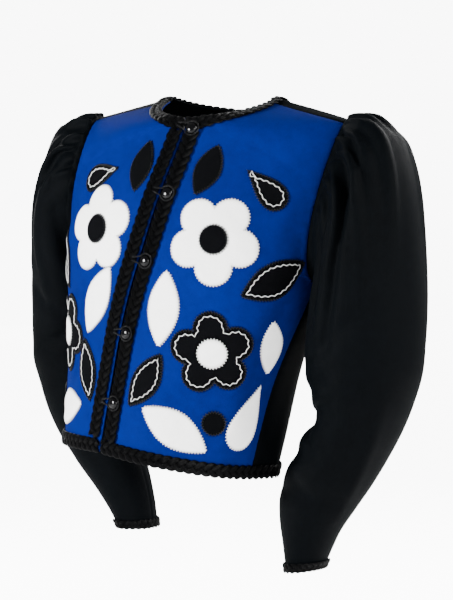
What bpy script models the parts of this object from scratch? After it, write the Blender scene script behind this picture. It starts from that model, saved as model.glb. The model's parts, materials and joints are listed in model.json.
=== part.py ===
"""Bolero jacket in its worn pose, modelled for Blender 4.5 in metres with +Z up.

The fronts face -Y and the left side, as worn, lies at +X. The origin is the middle of the neck opening,
level with the points where the shoulder seams meet the neck. The cloth is shaped first as a straight,
symmetric jacket. A pose then turns and leans it by height, and the sleeves hang from its armholes.
"""
import math
from collections import namedtuple

import bmesh
import bpy
import numpy as np
from mathutils import Vector
from mathutils.bvhtree import BVHTree
from mathutils.geometry import delaunay_2d_cdt

# Cloth thicknesses and the gaps between pieces
BODY_WALL = 0.0016
SLEEVE_WALL = 0.0014
SEAM_GAP = 0.0003
LIFT = 0.0008
NECK_BRAID_LIFT = 0.0013
FELT_LIFT = 0.0011

# Neck, shoulders and armholes of the straight jacket
NECK_HALF_WIDTH = 0.070
NECK_DROP_FRONT = 0.034
NECK_DROP_BACK = 0.010
NECK_DEPTH_FRONT = 0.088
NECK_DEPTH_BACK = 0.078
NECK_CURVE = 0.8
SHOULDER_TIP = (0.175, -0.027)
UNDERARM_HEIGHT = -0.215
ARMHOLE_FRONT_BULGE = 0.048
ARMHOLE_BACK_BULGE = 0.046
ARMHOLE_SCOOP = 0.003

# Hem heights, and the opening between the fronts
HEM_FRONT = -0.443
HEM_SIDE = -0.455
HEM_BACK = -0.460
OPENING_AT_NECK = 0.0012
OPENING_AT_HEM = 0.0050
BODY_FULLNESS = 0.88

# Where a panel's rows pass from side seam to armhole, and from front edge to neckline
UP_ARMHOLE = 0.50
UP_NECK_FRONT = 0.775
UP_NECK_BACK = 0.80

# The back reaches over the shoulder's ridge: where the front ends at the armhole and at the neck
UP_SEAM_ARMHOLE = 0.95
UP_SEAM_NECK = 0.985

# How the sleeve's end rings turn, folds fade, normals are taken and the underarm is drawn in
END_TURN = 30.0
FOLD_FADE = 0.35
NORMAL_STEP = 0.002
UNDERARM_PULL = 5

# Mesh divisions of the panels and sleeves
SIDE_ROWS = 9
ARMHOLE_ROWS = 20
SEAM_ROWS = 2
FRONT_COLUMNS = 10
BACK_COLUMNS = 10
SLEEVE_RINGS = 16
NECK_COLUMNS = 12
CUFF_COLUMNS = 32
FRONT_EDGE_ROWS = 21
FINE_BODY = (121, 61)
FINE_SLEEVE = (121, 96)
JOIN_DISTANCE = 0.00002
CUFF_STEP = 0.02

Level = namedtuple("Level", "height half_width front_depth back_depth")
BODY_LEVELS = (
    Level(-0.460, 0.143, 0.118, 0.120),
    Level(-0.350, 0.151, 0.120, 0.117),
    Level(-0.215, 0.177, 0.124, 0.115),
    Level(-0.120, 0.180, 0.114, 0.110),
    Level(-0.034, 0.180, 0.088, 0.090),
    Level(0.000, 0.180, 0.078, 0.078),
)

Pose = namedtuple("Pose", "height shift_x shift_y turn roll")
BODY_POSE = (
    Pose(-0.460, -0.079, 0.000, -14.5, 6.2),
    Pose(-0.300, -0.052, 0.000, -9.0, 6.0),
    Pose(-0.150, -0.025, 0.000, 0.5, 5.0),
    Pose(-0.030, -0.001, 0.000, 4.0, 3.2),
    Pose(0.030, 0.002, 0.000, 4.0, 3.0),
)

# Soft folds in the panels: depth is outward, and each fades out at its top
Fold = namedtuple("Fold", "panel across depth spread top")
BODY_FOLDS = (
    Fold("front", 0.76, 0.0024, 0.110, 0.62),
    Fold("front", 0.50, -0.0012, 0.100, 0.40),
    Fold("back", 0.28, 0.0040, 0.100, 0.66),
    Fold("back", 0.54, -0.0030, 0.100, 0.55),
    Fold("back", 0.78, 0.0028, 0.090, 0.60),
)

# Sleeve sections from the armhole to the cuff: each is an oval between an inner and an outer point
Ring = namedtuple("Ring", "inner_x inner_z outer_x outer_z middle_y half_depth")
LEFT_SLEEVE = (
    Ring(0.1480, -0.227, 0.184, -0.031, 0.000, 0.058),
    Ring(0.1500, -0.234, 0.210, -0.036, 0.001, 0.067),
    Ring(0.1470, -0.246, 0.234, -0.056, 0.002, 0.075),
    Ring(0.1420, -0.258, 0.247, -0.086, 0.004, 0.080),
    Ring(0.1360, -0.271, 0.255, -0.122, 0.006, 0.083),
    Ring(0.1310, -0.284, 0.259, -0.163, 0.009, 0.084),
    Ring(0.1260, -0.298, 0.261, -0.208, 0.013, 0.084),
    Ring(0.1210, -0.314, 0.261, -0.254, 0.018, 0.084),
    Ring(0.1170, -0.333, 0.258, -0.298, 0.024, 0.083),
    Ring(0.1160, -0.355, 0.252, -0.340, 0.030, 0.080),
    Ring(0.1200, -0.380, 0.238, -0.378, 0.036, 0.074),
    Ring(0.1110, -0.404, 0.221, -0.414, 0.041, 0.069),
    Ring(0.0920, -0.430, 0.200, -0.449, 0.046, 0.064),
    Ring(0.0750, -0.458, 0.178, -0.482, 0.050, 0.057),
    Ring(0.0600, -0.489, 0.154, -0.513, 0.055, 0.049),
    Ring(0.0560, -0.523, 0.132, -0.541, 0.059, 0.043),
    Ring(0.0585, -0.560, 0.1175, -0.565, 0.063, 0.0375),
    Ring(0.0620, -0.595, 0.1050, -0.589, 0.065, 0.0330),
)
RIGHT_SLEEVE = (
    Ring(-0.2215, -0.194, -0.182, -0.013, 0.000, 0.058),
    Ring(-0.2250, -0.200, -0.208, -0.016, 0.006, 0.066),
    Ring(-0.2260, -0.211, -0.236, -0.030, 0.014, 0.074),
    Ring(-0.2265, -0.222, -0.259, -0.056, 0.024, 0.079),
    Ring(-0.2265, -0.234, -0.281, -0.089, 0.036, 0.082),
    Ring(-0.2260, -0.246, -0.299, -0.128, 0.049, 0.083),
    Ring(-0.2240, -0.260, -0.313, -0.169, 0.062, 0.083),
    Ring(-0.2240, -0.276, -0.326, -0.211, 0.075, 0.082),
    Ring(-0.2240, -0.294, -0.336, -0.253, 0.086, 0.080),
    Ring(-0.2240, -0.315, -0.345, -0.295, 0.095, 0.077),
    Ring(-0.2240, -0.339, -0.348, -0.333, 0.102, 0.073),
    Ring(-0.2230, -0.366, -0.345, -0.370, 0.107, 0.068),
    Ring(-0.2200, -0.395, -0.336, -0.408, 0.111, 0.062),
    Ring(-0.2140, -0.426, -0.318, -0.445, 0.114, 0.056),
    Ring(-0.2060, -0.458, -0.294, -0.479, 0.116, 0.049),
    Ring(-0.1950, -0.491, -0.267, -0.511, 0.117, 0.042),
    Ring(-0.1860, -0.527, -0.246, -0.539, 0.118, 0.036),
    Ring(-0.1810, -0.564, -0.230, -0.562, 0.118, 0.033),
)
SLEEVES = {"left": LEFT_SLEEVE, "right": RIGHT_SLEEVE}

# Gathers in the sleeve head: angle from the shoulder tip towards the front, and how far down each runs
Gather = namedtuple("Gather", "angle depth length")
GATHERS = (
    Gather(9.0, 0.0064, 0.22),
    Gather(27.0, 0.0092, 0.42),
    Gather(45.0, 0.0084, 0.34),
    Gather(63.0, 0.0090, 0.50),
    Gather(81.0, 0.0068, 0.30),
    Gather(99.0, 0.0038, 0.24),
    Gather(-9.0, 0.0064, 0.26),
    Gather(-27.0, 0.0084, 0.38),
    Gather(-45.0, 0.0074, 0.46),
    Gather(-63.0, 0.0076, 0.32),
    Gather(-81.0, 0.0046, 0.28),
)
GATHER_HALF_ANGLE = 11.0
GATHER_START = 0.06
HEAD_RISE = 0.005
HEAD_OUT = 0.001
HEAD_RISE_END = 0.028
HEAD_BLEND = 0.10
LEAN_END = 0.35

# Creases across the bend of the arm: place along the sleeve, angle round it, depth and spreads
Crease = namedtuple("Crease", "along angle depth spread_along spread_angle tilt")
CREASES = (
    Crease(0.57, 138.0, -0.0032, 0.022, 45.0, 0.020),
    Crease(0.65, 165.0, -0.0088, 0.024, 60.0, -0.015),
    Crease(0.74, 140.0, -0.0050, 0.022, 50.0, 0.025),
    Crease(0.60, 70.0, 0.0040, 0.030, 40.0, -0.050),
    Crease(0.47, 100.0, -0.0040, 0.024, 42.0, 0.060),
    Crease(0.82, 110.0, -0.0030, 0.018, 60.0, 0.010),
)

# Braid widths and thicknesses
BRAID_THICKNESS = 0.0022
BRAID_EDGE_THICKNESS = 0.0012
NECK_BRAID_WIDTH = 0.017
FRONT_BRAID_WIDTH = 0.020
FRONT_BRAID_SETBACK = 0.0025
HEM_BRAID_WIDTH = 0.018
CUFF_BRAID_WIDTH = 0.013
BRAID_JOINT_GAP = 0.0006
NECK_BRAID_SETBACK = 0.0008
EDGE_BRAID_SETBACK = 0.0005

# Buttons and their loops
BUTTON_RADIUS = 0.0072
BUTTON_THICKNESS = 0.0062
BUTTON_FROM_EDGE = 0.0105
BUTTON_DROPS = (0.011, 0.090, 0.172, 0.260, 0.346)
LOOP_CORD_RADIUS = 0.0011
LOOP_RADIUS = 0.0088

# Felt shapes on each front: place of the middle, size and turn, mirrored on the other front
FELT = 0.0012
FILL_SPACING = 0.015
FILL_ROW_SHARE = 0.87
FILL_EDGE_SHARE = 0.42
LAYING_HEIGHT = 0.08
Motif = namedtuple("Motif", "form colour from_edge above_hem length width turn layer")
MOTIFS = (
    Motif("flower", "white", 0.085, 0.284, 0.108, 0.108, 10, 1),
    Motif("disc", "black", 0.085, 0.284, 0.034, 0.034, 0, 2),
    Motif("leaf", "black", 0.170, 0.252, 0.088, 0.042, -40, 1),
    Motif("leaf", "white", 0.050, 0.188, 0.090, 0.040, 14, 1),
    Motif("leaf", "black", 0.046, 0.362, 0.066, 0.032, -12, 1),
    Motif("flower", "black", 0.124, 0.150, 0.100, 0.100, -12, 1),
    Motif("disc", "white", 0.124, 0.150, 0.034, 0.034, 0, 2),
    Motif("leaf", "white", 0.196, 0.172, 0.066, 0.030, 20, 1),
    Motif("leaf", "black", 0.048, 0.100, 0.078, 0.036, -22, 1),
    Motif("leaf", "white", 0.096, 0.048, 0.092, 0.042, 70, 1),
    Motif("drop", "white", 0.184, 0.080, 0.082, 0.046, -10, 1),
    Motif("disc", "black", 0.142, 0.066, 0.028, 0.028, 0, 1),
    Motif("drop", "black", 0.122, 0.374, 0.062, 0.038, 52, 1),
)

# Finishes: colour, roughness, metallic
Finish = namedtuple("Finish", "colour roughness metallic")
FINISHES = {
    "wool_blue": Finish((0.022, 0.085, 0.46, 1.0), 0.75, 0.0),
    "crepe_black": Finish((0.014, 0.014, 0.017, 1.0), 0.80, 0.0),
    "braid_black": Finish((0.010, 0.010, 0.012, 1.0), 0.60, 0.0),
    "felt_white": Finish((0.82, 0.80, 0.74, 1.0), 0.85, 0.0),
    "felt_black": Finish((0.016, 0.016, 0.018, 1.0), 0.85, 0.0),
    "button_black": Finish((0.010, 0.010, 0.012, 1.0), 0.15, 0.0),
    "cord_satin": Finish((0.012, 0.012, 0.014, 1.0), 0.40, 0.0),
}


def table_curve(rows, key, value, at):
    """Smooth curve through one column of a table, read against another."""
    ordered = sorted(rows, key=lambda row: getattr(row, key))
    knots = np.array([getattr(row, key) for row in ordered])
    values = np.array([getattr(row, value) for row in ordered])
    return smooth_curve(knots, values, at)


def smooth_curve(knots, values, at):
    """Cubic through the values, with each slope taken from the neighbours."""
    slopes = np.gradient(values, knots, axis=0)
    at = np.clip(at, knots[0], knots[-1])
    start = np.clip(np.searchsorted(knots, at) - 1, 0, len(knots) - 2)
    span = knots[start + 1] - knots[start]
    t = (at - knots[start]) / span
    if values.ndim > 1:
        span, t = span[..., None], t[..., None]
    return ((1 + 2 * t) * (1 - t) ** 2 * values[start] + t * (1 - t) ** 2 * span * slopes[start]
            + t ** 2 * (3 - 2 * t) * values[start + 1] + t ** 2 * (t - 1) * span * slopes[start + 1])


def smooth_step(x):
    x = np.clip(x, 0.0, 1.0)
    return x * x * (3 - 2 * x)


def unit(vectors):
    return vectors / np.linalg.norm(vectors, axis=-1, keepdims=True)


def armhole(panel, angle):
    """Armhole edge of the straight jacket: angle 0 at the underarm, pi at the shoulder tip."""
    bulge = -ARMHOLE_FRONT_BULGE if panel == "front" else ARMHOLE_BACK_BULGE
    share = (1 - np.cos(angle)) / 2
    side_x = table_curve(BODY_LEVELS, "height", "half_width", UNDERARM_HEIGHT)
    x = side_x + (SHOULDER_TIP[0] - side_x) * share - ARMHOLE_SCOOP * np.sin(angle)
    z = UNDERARM_HEIGHT + (SHOULDER_TIP[1] - UNDERARM_HEIGHT) * share
    return np.stack([x, bulge * np.sin(angle), z], axis=-1)


def outer_edge(panel, up):
    """Side seam, then armhole."""
    hem_share = np.clip(up / UP_ARMHOLE, 0, 1)
    z = HEM_SIDE + (UNDERARM_HEIGHT - HEM_SIDE) * hem_share
    x = table_curve(BODY_LEVELS, "height", "half_width", z)
    seam = np.stack([x, np.zeros_like(x), z], axis=-1)
    angle = math.pi * np.clip((up - UP_ARMHOLE) / (1 - UP_ARMHOLE), 0, 1)
    return np.where((up > UP_ARMHOLE)[..., None], armhole(panel, angle), seam)


def inner_edge(panel, up):
    """Front edge or centre back, then neckline."""
    front = panel == "front"
    up_neck = UP_NECK_FRONT if front else UP_NECK_BACK
    hem = HEM_FRONT if front else HEM_BACK
    drop = -NECK_DROP_FRONT if front else -NECK_DROP_BACK
    depth_name = "front_depth" if front else "back_depth"
    neck_depth = NECK_DEPTH_FRONT if front else NECK_DEPTH_BACK
    side = -1 if front else 1
    share = np.clip(up / up_neck, 0, 1)
    z = hem + (drop - hem) * share
    opening = OPENING_AT_HEM + (OPENING_AT_NECK - OPENING_AT_HEM) * share
    x = opening / 2 if front else np.zeros_like(share)
    depth = table_curve(BODY_LEVELS, "height", depth_name, z)
    correction = neck_depth - table_curve(BODY_LEVELS, "height", depth_name, drop)
    edge = np.stack([x, side * (depth + correction * share ** 4), z], axis=-1)
    angle = math.pi / 2 * np.clip((up - up_neck) / (1 - up_neck), 0, 1)
    start_x = OPENING_AT_NECK / 2 if front else 0.0
    neck = np.stack([start_x + (NECK_HALF_WIDTH - start_x) * np.sin(angle),
                     side * neck_depth * np.cos(angle),
                     drop * np.cos(angle) ** NECK_CURVE], axis=-1)
    return np.where((up > up_neck)[..., None], neck, edge)


def flat_half(panel, across, up):
    """Point of the left half of a panel: across from the middle to the side, up from the hem."""
    across, up = np.broadcast_arrays(np.asarray(across, float), np.asarray(up, float))
    start, end = inner_edge(panel, up), outer_edge(panel, up)
    rise = smooth_step((up - UP_ARMHOLE) / (1 - UP_ARMHOLE))
    turn = np.radians(90 - (90 - END_TURN) * rise)
    power = 1 - (1 - BODY_FULLNESS) * (1 - rise)
    sideways = (np.sin(across * turn) / np.sin(turn)) ** power
    backward = (1 - np.cos(across * turn) ** power) / (1 - np.cos(turn) ** power)
    share = np.stack([sideways, backward, across], axis=-1)
    point = start + (end - start) * share
    outward = 1 if panel == "back" else -1
    for fold in BODY_FOLDS:
        if fold.panel == panel:
            ridge = np.exp(-((across - fold.across) / fold.spread) ** 2)
            height = fold.depth * ridge * smooth_step((fold.top - up) / FOLD_FADE)
            angle = across * turn
            point = point + np.stack([np.sin(angle) * height, outward * np.cos(angle) * height,
                                      np.zeros_like(height)], axis=-1)
    return point


def posed(points):
    """Turn, lean and shift of the worn jacket, by height."""
    x, y, z = points[..., 0], points[..., 1], points[..., 2]
    turn = np.radians(table_curve(BODY_POSE, "height", "turn", z))
    roll = np.radians(table_curve(BODY_POSE, "height", "roll", z))
    turned_x = x * np.cos(turn) - y * np.sin(turn)
    turned_y = x * np.sin(turn) + y * np.cos(turn)
    return np.stack([turned_x + table_curve(BODY_POSE, "height", "shift_x", z),
                     turned_y + table_curve(BODY_POSE, "height", "shift_y", z),
                     z - turned_x * np.sin(roll)], axis=-1)


def mirrored(points, side):
    return points * np.array([1 if side == "left" else -1, 1, 1])


def body_point(panel, side, across, up):
    return posed(mirrored(flat_half(panel, across, up), side))


def body_normal(panel, side, across, up):
    """Outward normal of a panel, by small steps. At the seams both panels share one."""
    across, up = np.broadcast_arrays(np.asarray(across, float), np.asarray(up, float))
    low_a, high_a = np.clip(across - NORMAL_STEP, 0, 1), np.clip(across + NORMAL_STEP, 0, 1)
    low_u, high_u = np.clip(up - NORMAL_STEP, 0, 1), np.clip(up + NORMAL_STEP, 0, 1)
    along = body_point(panel, side, high_a, up) - body_point(panel, side, low_a, up)
    rising = body_point(panel, side, across, high_u) - body_point(panel, side, across, low_u)
    normal = unit(np.cross(along, rising))
    if (panel == "front") != (side == "left"):
        normal = -normal
    slope = math.atan2(SHOULDER_TIP[1], SHOULDER_TIP[0] - NECK_HALF_WIDTH)
    across_seam = np.array([1.0, 0.0, 0.0])
    above_seam = np.array([-math.sin(slope), 0.0, math.cos(slope)])
    origin = flat_half(panel, across, up)
    for on_seam, flat_normal in (((across > 0.9999) & (up < UP_ARMHOLE), across_seam),
                                 (up > 0.9999, above_seam)):
        lifted = posed(mirrored(origin + 0.001 * flat_normal, side)) - posed(mirrored(origin, side))
        normal = np.where(on_seam[..., None], unit(lifted), normal)
    underarm = (across > 0.9999) & (up >= UP_ARMHOLE - 1e-6) & (up < 0.9999)
    opening = (up - UP_ARMHOLE) / (1 - UP_ARMHOLE)
    sideways = unit(posed(mirrored(origin + 0.001 * across_seam, side)) - posed(mirrored(origin, side)))
    pull = np.where(underarm, 1 - smooth_step(opening * UNDERARM_PULL), 0.0)[..., None]
    return unit(normal * (1 - pull) + sideways * pull)


# Sleeves


def armhole_loop(side, turns):
    """Posed armhole edge and its cloth normals, from the shoulder tip round the front."""
    turns = np.asarray(turns)
    front = turns <= math.pi + 1e-9
    up = UP_ARMHOLE + (1 - UP_ARMHOLE) * np.where(front, math.pi - turns, turns - math.pi) / math.pi
    ones = np.ones_like(up)
    points = np.where(front[:, None], body_point("front", side, ones, up),
                      body_point("back", side, ones, up))
    normals = np.where(front[:, None], body_normal("front", side, ones, up),
                       body_normal("back", side, ones, up))
    return points, normals


def away_from_panel(seam, normals):
    """Direction in the cloth's own plane, from the armhole edge towards the arm."""
    tangent = np.roll(seam, -1, axis=0) - np.roll(seam, 1, axis=0)
    away = unit(np.cross(normals, tangent))
    tip_to_underarm = seam[0] - seam[len(seam) // 2]
    return away if np.dot(away[len(seam) // 2], tip_to_underarm) > 0 else -away


def sleeve_point(side, turns, along):
    """Point of the sleeve's outer face: turn 0 on top, along 0 at the armhole and 1 at the cuff."""
    turns, along = np.broadcast_arrays(np.asarray(turns, float), np.asarray(along, float))
    rows = SLEEVES[side]
    seam, normals = armhole_loop(side, turns[0])
    away = away_from_panel(seam, normals)
    tip = body_point("front", side, np.array([1.0]), np.array([1.0]))[0]
    underarm = body_point("front", side, np.array([1.0]), np.array([UP_ARMHOLE]))[0]
    first = Ring(underarm[0], underarm[2], tip[0], tip[2], 0.0, ARMHOLE_FRONT_BULGE)
    table = np.array((first,) + rows)
    places = np.linspace(0, 1, len(table))
    row = smooth_curve(places, table, along[:, :1])
    inner_x, inner_z, outer_x, outer_z, middle_y, half_depth = np.moveaxis(row, -1, 0)
    mid_x, mid_z = (inner_x + outer_x) / 2, (inner_z + outer_z) / 2
    reach = np.cos(turns)
    lean = (tip[1] - underarm[1]) / 2 * (1 - smooth_step(along / LEAN_END))
    oval = np.stack([mid_x + (outer_x - inner_x) / 2 * reach,
                     middle_y + lean * reach - half_depth * np.sin(turns),
                     mid_z + (outer_z - inner_z) / 2 * reach], axis=-1)
    outward = unit(oval - np.stack(np.broadcast_arrays(mid_x, middle_y, mid_z), axis=-1))
    bulge = np.zeros_like(turns)
    for gather in GATHERS:
        offset = (np.degrees(turns) - gather.angle + 180) % 360 - 180
        ridge = np.cos(np.clip(offset / GATHER_HALF_ANGLE, -1, 1) * math.pi / 2) ** 2
        rise = smooth_step(along / GATHER_START) * (1 - smooth_step(along / gather.length))
        bulge = bulge + gather.depth * ridge * rise
    for crease in CREASES:
        offset = (np.degrees(turns) - crease.angle + 180) % 360 - 180
        middle = crease.along + crease.tilt * offset / 90
        bulge = bulge + crease.depth * np.exp(-((along - middle) / crease.spread_along) ** 2
                                              - (offset / crease.spread_angle) ** 2)
    oval = oval + outward * bulge[..., None]
    rise = smooth_step(along / HEAD_RISE_END)[..., None]
    edge = seam + away * (SEAM_GAP + HEAD_OUT * rise) + normals * HEAD_RISE * rise
    share = smooth_step((along - HEAD_RISE_END / 2) / HEAD_BLEND)[..., None]
    return edge * (1 - share) + oval * share


def grid_normals(points, wrap):
    """Normals of a grid of points, from its own rows and columns."""
    if wrap:
        around = np.roll(points, -1, axis=1) - np.roll(points, 1, axis=1)
    else:
        around = np.gradient(points, axis=1)
    return unit(np.cross(np.gradient(points, axis=0), around))


def faced_out(normals, points, centres):
    """Turn a whole tube's normals away from its middle."""
    if np.sum(normals * (points - centres)) < 0:
        return -normals
    return normals


# Meshes


def grid_faces(rows, columns, wrap=False):
    """Quads of a grid of points, as index tuples."""
    last = columns if wrap else columns - 1
    return [(r * columns + c, r * columns + (c + 1) % columns,
             (r + 1) * columns + (c + 1) % columns, (r + 1) * columns + c)
            for r in range(rows - 1) for c in range(last)]


def make_material(name):
    material = bpy.data.materials.new(name)
    material.use_nodes = True
    shader = material.node_tree.nodes["Principled BSDF"]
    finish = FINISHES[name]
    shader.inputs["Base Color"].default_value = finish.colour
    shader.inputs["Roughness"].default_value = finish.roughness
    shader.inputs["Metallic"].default_value = finish.metallic
    material.diffuse_color = finish.colour
    return material


def finished_object(name, bm, finish):
    """Object of a closed mesh, its faces turned outwards."""
    bmesh.ops.recalc_face_normals(bm, faces=bm.faces)
    mesh = bpy.data.meshes.new(name)
    bm.to_mesh(mesh)
    bm.free()
    mesh.shade_smooth()
    mesh.set_sharp_from_angle(angle=math.radians(40))
    mesh.materials.append(MATERIALS[finish])
    obj = bpy.data.objects.new(name, mesh)
    PARTS.objects.link(obj)
    obj.parent = JACKET
    return obj


def wall_mesh(faces, outer, inner, open_edges=()):
    """Wall between two matching skins, with a rim on every border edge that isn't left open."""
    bm = bmesh.new()
    outer_verts = [bm.verts.new(tuple(p)) for p in outer]
    inner_verts = [bm.verts.new(tuple(p)) for p in inner]
    uses = {}
    for face in faces:
        bm.faces.new([outer_verts[i] for i in face])
        bm.faces.new([inner_verts[i] for i in reversed(face)])
        for a, b in zip(face, face[1:] + face[:1]):
            uses.setdefault(frozenset((a, b)), []).append((a, b))
    for key, found in uses.items():
        if len(found) == 1 and key not in open_edges:
            a, b = found[0]
            bm.faces.new([outer_verts[b], outer_verts[a], inner_verts[a], inner_verts[b]])
    return bm


def wall_object(name, finish, faces, outer, inner):
    return finished_object(name, wall_mesh(faces, outer.reshape(-1, 3), inner.reshape(-1, 3)), finish)


# Panels


def panel_ups(panel):
    """Rows of a panel at its armhole edge. Past 1 the back lies on the front's side of the ridge."""
    end = UP_SEAM_ARMHOLE if panel == "front" else 2 - UP_SEAM_ARMHOLE
    rows = ARMHOLE_ROWS + (-SEAM_ROWS if panel == "front" else SEAM_ROWS)
    side = np.linspace(0, UP_ARMHOLE, SIDE_ROWS + 1)
    return np.concatenate([side, np.linspace(UP_ARMHOLE, end, rows + 1)[1:]])


def panel_grid(panel, across, up):
    """Grid of a panel whose last row follows the shoulder seam, nearer the ridge at the neck."""
    across, up = np.meshgrid(across, up)
    if panel == "front":
        share = smooth_step((up - UP_NECK_FRONT) / (UP_SEAM_ARMHOLE - UP_NECK_FRONT))
    else:
        share = -np.clip((up - 1) / (1 - UP_SEAM_ARMHOLE), 0, 1)
    return across, up + (1 - across) * (UP_SEAM_NECK - UP_SEAM_ARMHOLE) * share


def over_ridge(function, panel, side, across, up):
    """A point or normal of a panel. The back's rows past 1 are read from the front's surface."""
    if panel == "front":
        return function(panel, side, across, up)
    ahead = function("front", side, across, np.minimum(2 - up, 1))
    return np.where((up > 1)[..., None], ahead, function("back", side, across, np.minimum(up, 1)))


def panel_skins(panel, side, columns):
    """Outer and inner points of half a panel, set back from the side and shoulder seams."""
    across, up = panel_grid(panel, np.linspace(0, 1, columns + 1), panel_ups(panel))
    setback = np.array([0, -SEAM_GAP / 2 if panel == "front" else SEAM_GAP / 2, 0])
    outer = over_ridge(body_point, panel, side, across, up) + setback
    return outer, outer - BODY_WALL * over_ridge(body_normal, panel, side, across, up)


def make_front(side):
    outer, inner = panel_skins("front", side, FRONT_COLUMNS)
    wall_object(f"front_{side}", "wool_blue", grid_faces(*outer.shape[:2]), outer, inner)


def make_back():
    """Both halves of the back, joined down the middle below the neckline."""
    whole = bmesh.new()
    ups = panel_ups("back")
    columns = BACK_COLUMNS + 1
    for side in ("left", "right"):
        outer, inner = panel_skins("back", side, BACK_COLUMNS)
        joined = {frozenset((r * columns, (r + 1) * columns))
                  for r in range(len(ups) - 1) if ups[r + 1] < UP_NECK_BACK + 1e-6}
        middle = ups < UP_NECK_BACK + 1e-6
        inner[middle, 0] = centre_back_inner(ups[middle])
        half = wall_mesh(grid_faces(len(ups), columns), outer.reshape(-1, 3), inner.reshape(-1, 3), joined)
        mesh = bpy.data.meshes.new("half")
        half.to_mesh(mesh)
        half.free()
        whole.from_mesh(mesh)
        bpy.data.meshes.remove(mesh)
    bmesh.ops.remove_doubles(whole, verts=whole.verts, dist=JOIN_DISTANCE)
    finished_object("back", whole, "crepe_black")


def centre_back_inner(ups):
    """Inner points down the middle of the back, the same for both halves."""
    zero = np.zeros_like(ups)
    left = body_normal("back", "left", zero, ups)
    right = body_normal("back", "right", zero, ups)
    seam = body_point("back", "left", zero, ups) + np.array([0, SEAM_GAP / 2, 0])
    return seam - BODY_WALL * unit(left + right)


def sleeve_grid(side, turn_count, ring_count):
    turns = np.linspace(0, 2 * math.pi, turn_count, endpoint=False)
    spacing = np.linspace(0, 1, ring_count + 1)
    along = 0.72 * spacing + 0.28 * spacing ** 1.8
    along[1] = HEAD_RISE_END
    return turns, along, sleeve_point(side, turns[None, :], along[:, None])


def sleeve_skins(side, turn_count, ring_count):
    """Outer and inner points of a sleeve, its first ring just clear of the armhole edge."""
    turns, along, outer = sleeve_grid(side, turn_count, ring_count)
    centres = outer.mean(axis=1, keepdims=True)
    normals = faced_out(grid_normals(outer, True), outer, centres)
    seam, seam_normals = armhole_loop(side, turns)
    normals[0] = seam_normals
    normals[1] = -away_from_panel(seam, seam_normals)
    return outer, outer - SLEEVE_WALL * normals


def make_sleeve(side):
    outer, inner = sleeve_skins(side, 2 * ARMHOLE_ROWS, SLEEVE_RINGS)
    wall_object(f"sleeve_{side}", "crepe_black", grid_faces(*outer.shape[:2], wrap=True), outer, inner)


# The smooth cloth that braids, felt and buttons lie on


def cloth_tree(grids):
    points, faces = [], []
    for grid, wrap in grids:
        start = len(points)
        points.extend(map(tuple, grid.reshape(-1, 3)))
        faces.extend(tuple(start + i for i in face) for face in grid_faces(*grid.shape[:2], wrap))
    return BVHTree.FromPolygons(points, faces)


def body_grids():
    across, up = np.meshgrid(np.linspace(0, 1, FINE_BODY[1]), np.linspace(0, 1, FINE_BODY[0]))
    return {(panel, side): body_point(panel, side, across, up)
            for panel in ("front", "back") for side in ("left", "right")}


def on_cloth(tree, point, outward):
    """Nearest point of the cloth and its normal, turned to the outward side."""
    place, normal, _, _ = tree.find_nearest(Vector(point))
    normal = np.array(normal)
    if np.dot(normal, outward) < 0:
        normal = -normal
    return np.array(place), normal


def make_strip(name, finish, tree, path, outward, inward, width, start, lift=LIFT, wrap=False):
    """Braid along a path: three points wide, thickest in the middle, lifted off the cloth."""
    outer, inner = [], []
    for point, out, towards in zip(path, outward, inward):
        for share, thickness in ((0.0, BRAID_EDGE_THICKNESS), (0.5, BRAID_THICKNESS),
                                 (1.0, BRAID_EDGE_THICKNESS)):
            place, normal = on_cloth(tree, point + towards * (start + width * share), out)
            outer.append(place + normal * (lift + thickness))
            inner.append(place + normal * lift)
    faces = []
    count = len(path)
    for r in range(count if wrap else count - 1):
        for c in range(2):
            following = (r + 1) % count
            faces.append((r * 3 + c, r * 3 + c + 1, following * 3 + c + 1, following * 3 + c))
    return finished_object(name, wall_mesh(faces, outer, inner), finish)


def edge_frames(path, outward):
    """Direction from an edge into the cloth at each point of a path."""
    return unit(np.cross(unit(np.gradient(path, axis=0)), outward))


def path_pieces(spans):
    """Points and normals along panel edges, one span after another, without repeats."""
    points, normals = [], []
    for panel, side, across, up in spans:
        place = body_point(panel, side, across, up)
        facing = body_normal(panel, side, across, up)
        skip = 1 if points and np.linalg.norm(place[0] - points[-1]) < 0.001 else 0
        points.extend(place[skip:])
        normals.extend(facing[skip:])
    return np.array(points), np.array(normals)


def neck_path():
    """Neck edge from the left front round the back to the right front."""
    front = np.linspace(UP_NECK_FRONT, 1, NECK_COLUMNS + 1)
    back = np.linspace(1, UP_NECK_BACK, NECK_COLUMNS)
    zero = np.zeros_like
    return path_pieces((("front", "left", zero(front), front), ("back", "left", zero(back), back),
                        ("back", "right", zero(back), back[::-1]),
                        ("front", "right", zero(front), front[::-1])))


def front_edge_fall(side):
    """Downward direction of a front edge just below the neck."""
    top = body_point("front", side, np.zeros(2), np.array([UP_NECK_FRONT, UP_NECK_FRONT - 0.03]))
    return unit(top[1] - top[0])


def hem_path():
    front = np.linspace(0, 1, FRONT_COLUMNS + 1)
    back = np.linspace(1, 0, BACK_COLUMNS + 1)
    zero = np.zeros_like
    return path_pieces((("front", "left", front, zero(front)), ("back", "left", back, zero(back)),
                        ("back", "right", back[::-1], zero(back)),
                        ("front", "right", front[::-1], zero(front))))


def front_edge_path(side):
    """Front edge between the hem braid and the neck braid."""
    length = UP_NECK_FRONT / (-NECK_DROP_FRONT - HEM_FRONT)
    start = (HEM_BRAID_WIDTH + 3 * BRAID_JOINT_GAP) * length
    end = UP_NECK_FRONT - (NECK_BRAID_WIDTH + BRAID_JOINT_GAP) * length
    up = np.linspace(start, end, FRONT_EDGE_ROWS)
    return path_pieces((("front", side, np.zeros_like(up), up),))


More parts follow.
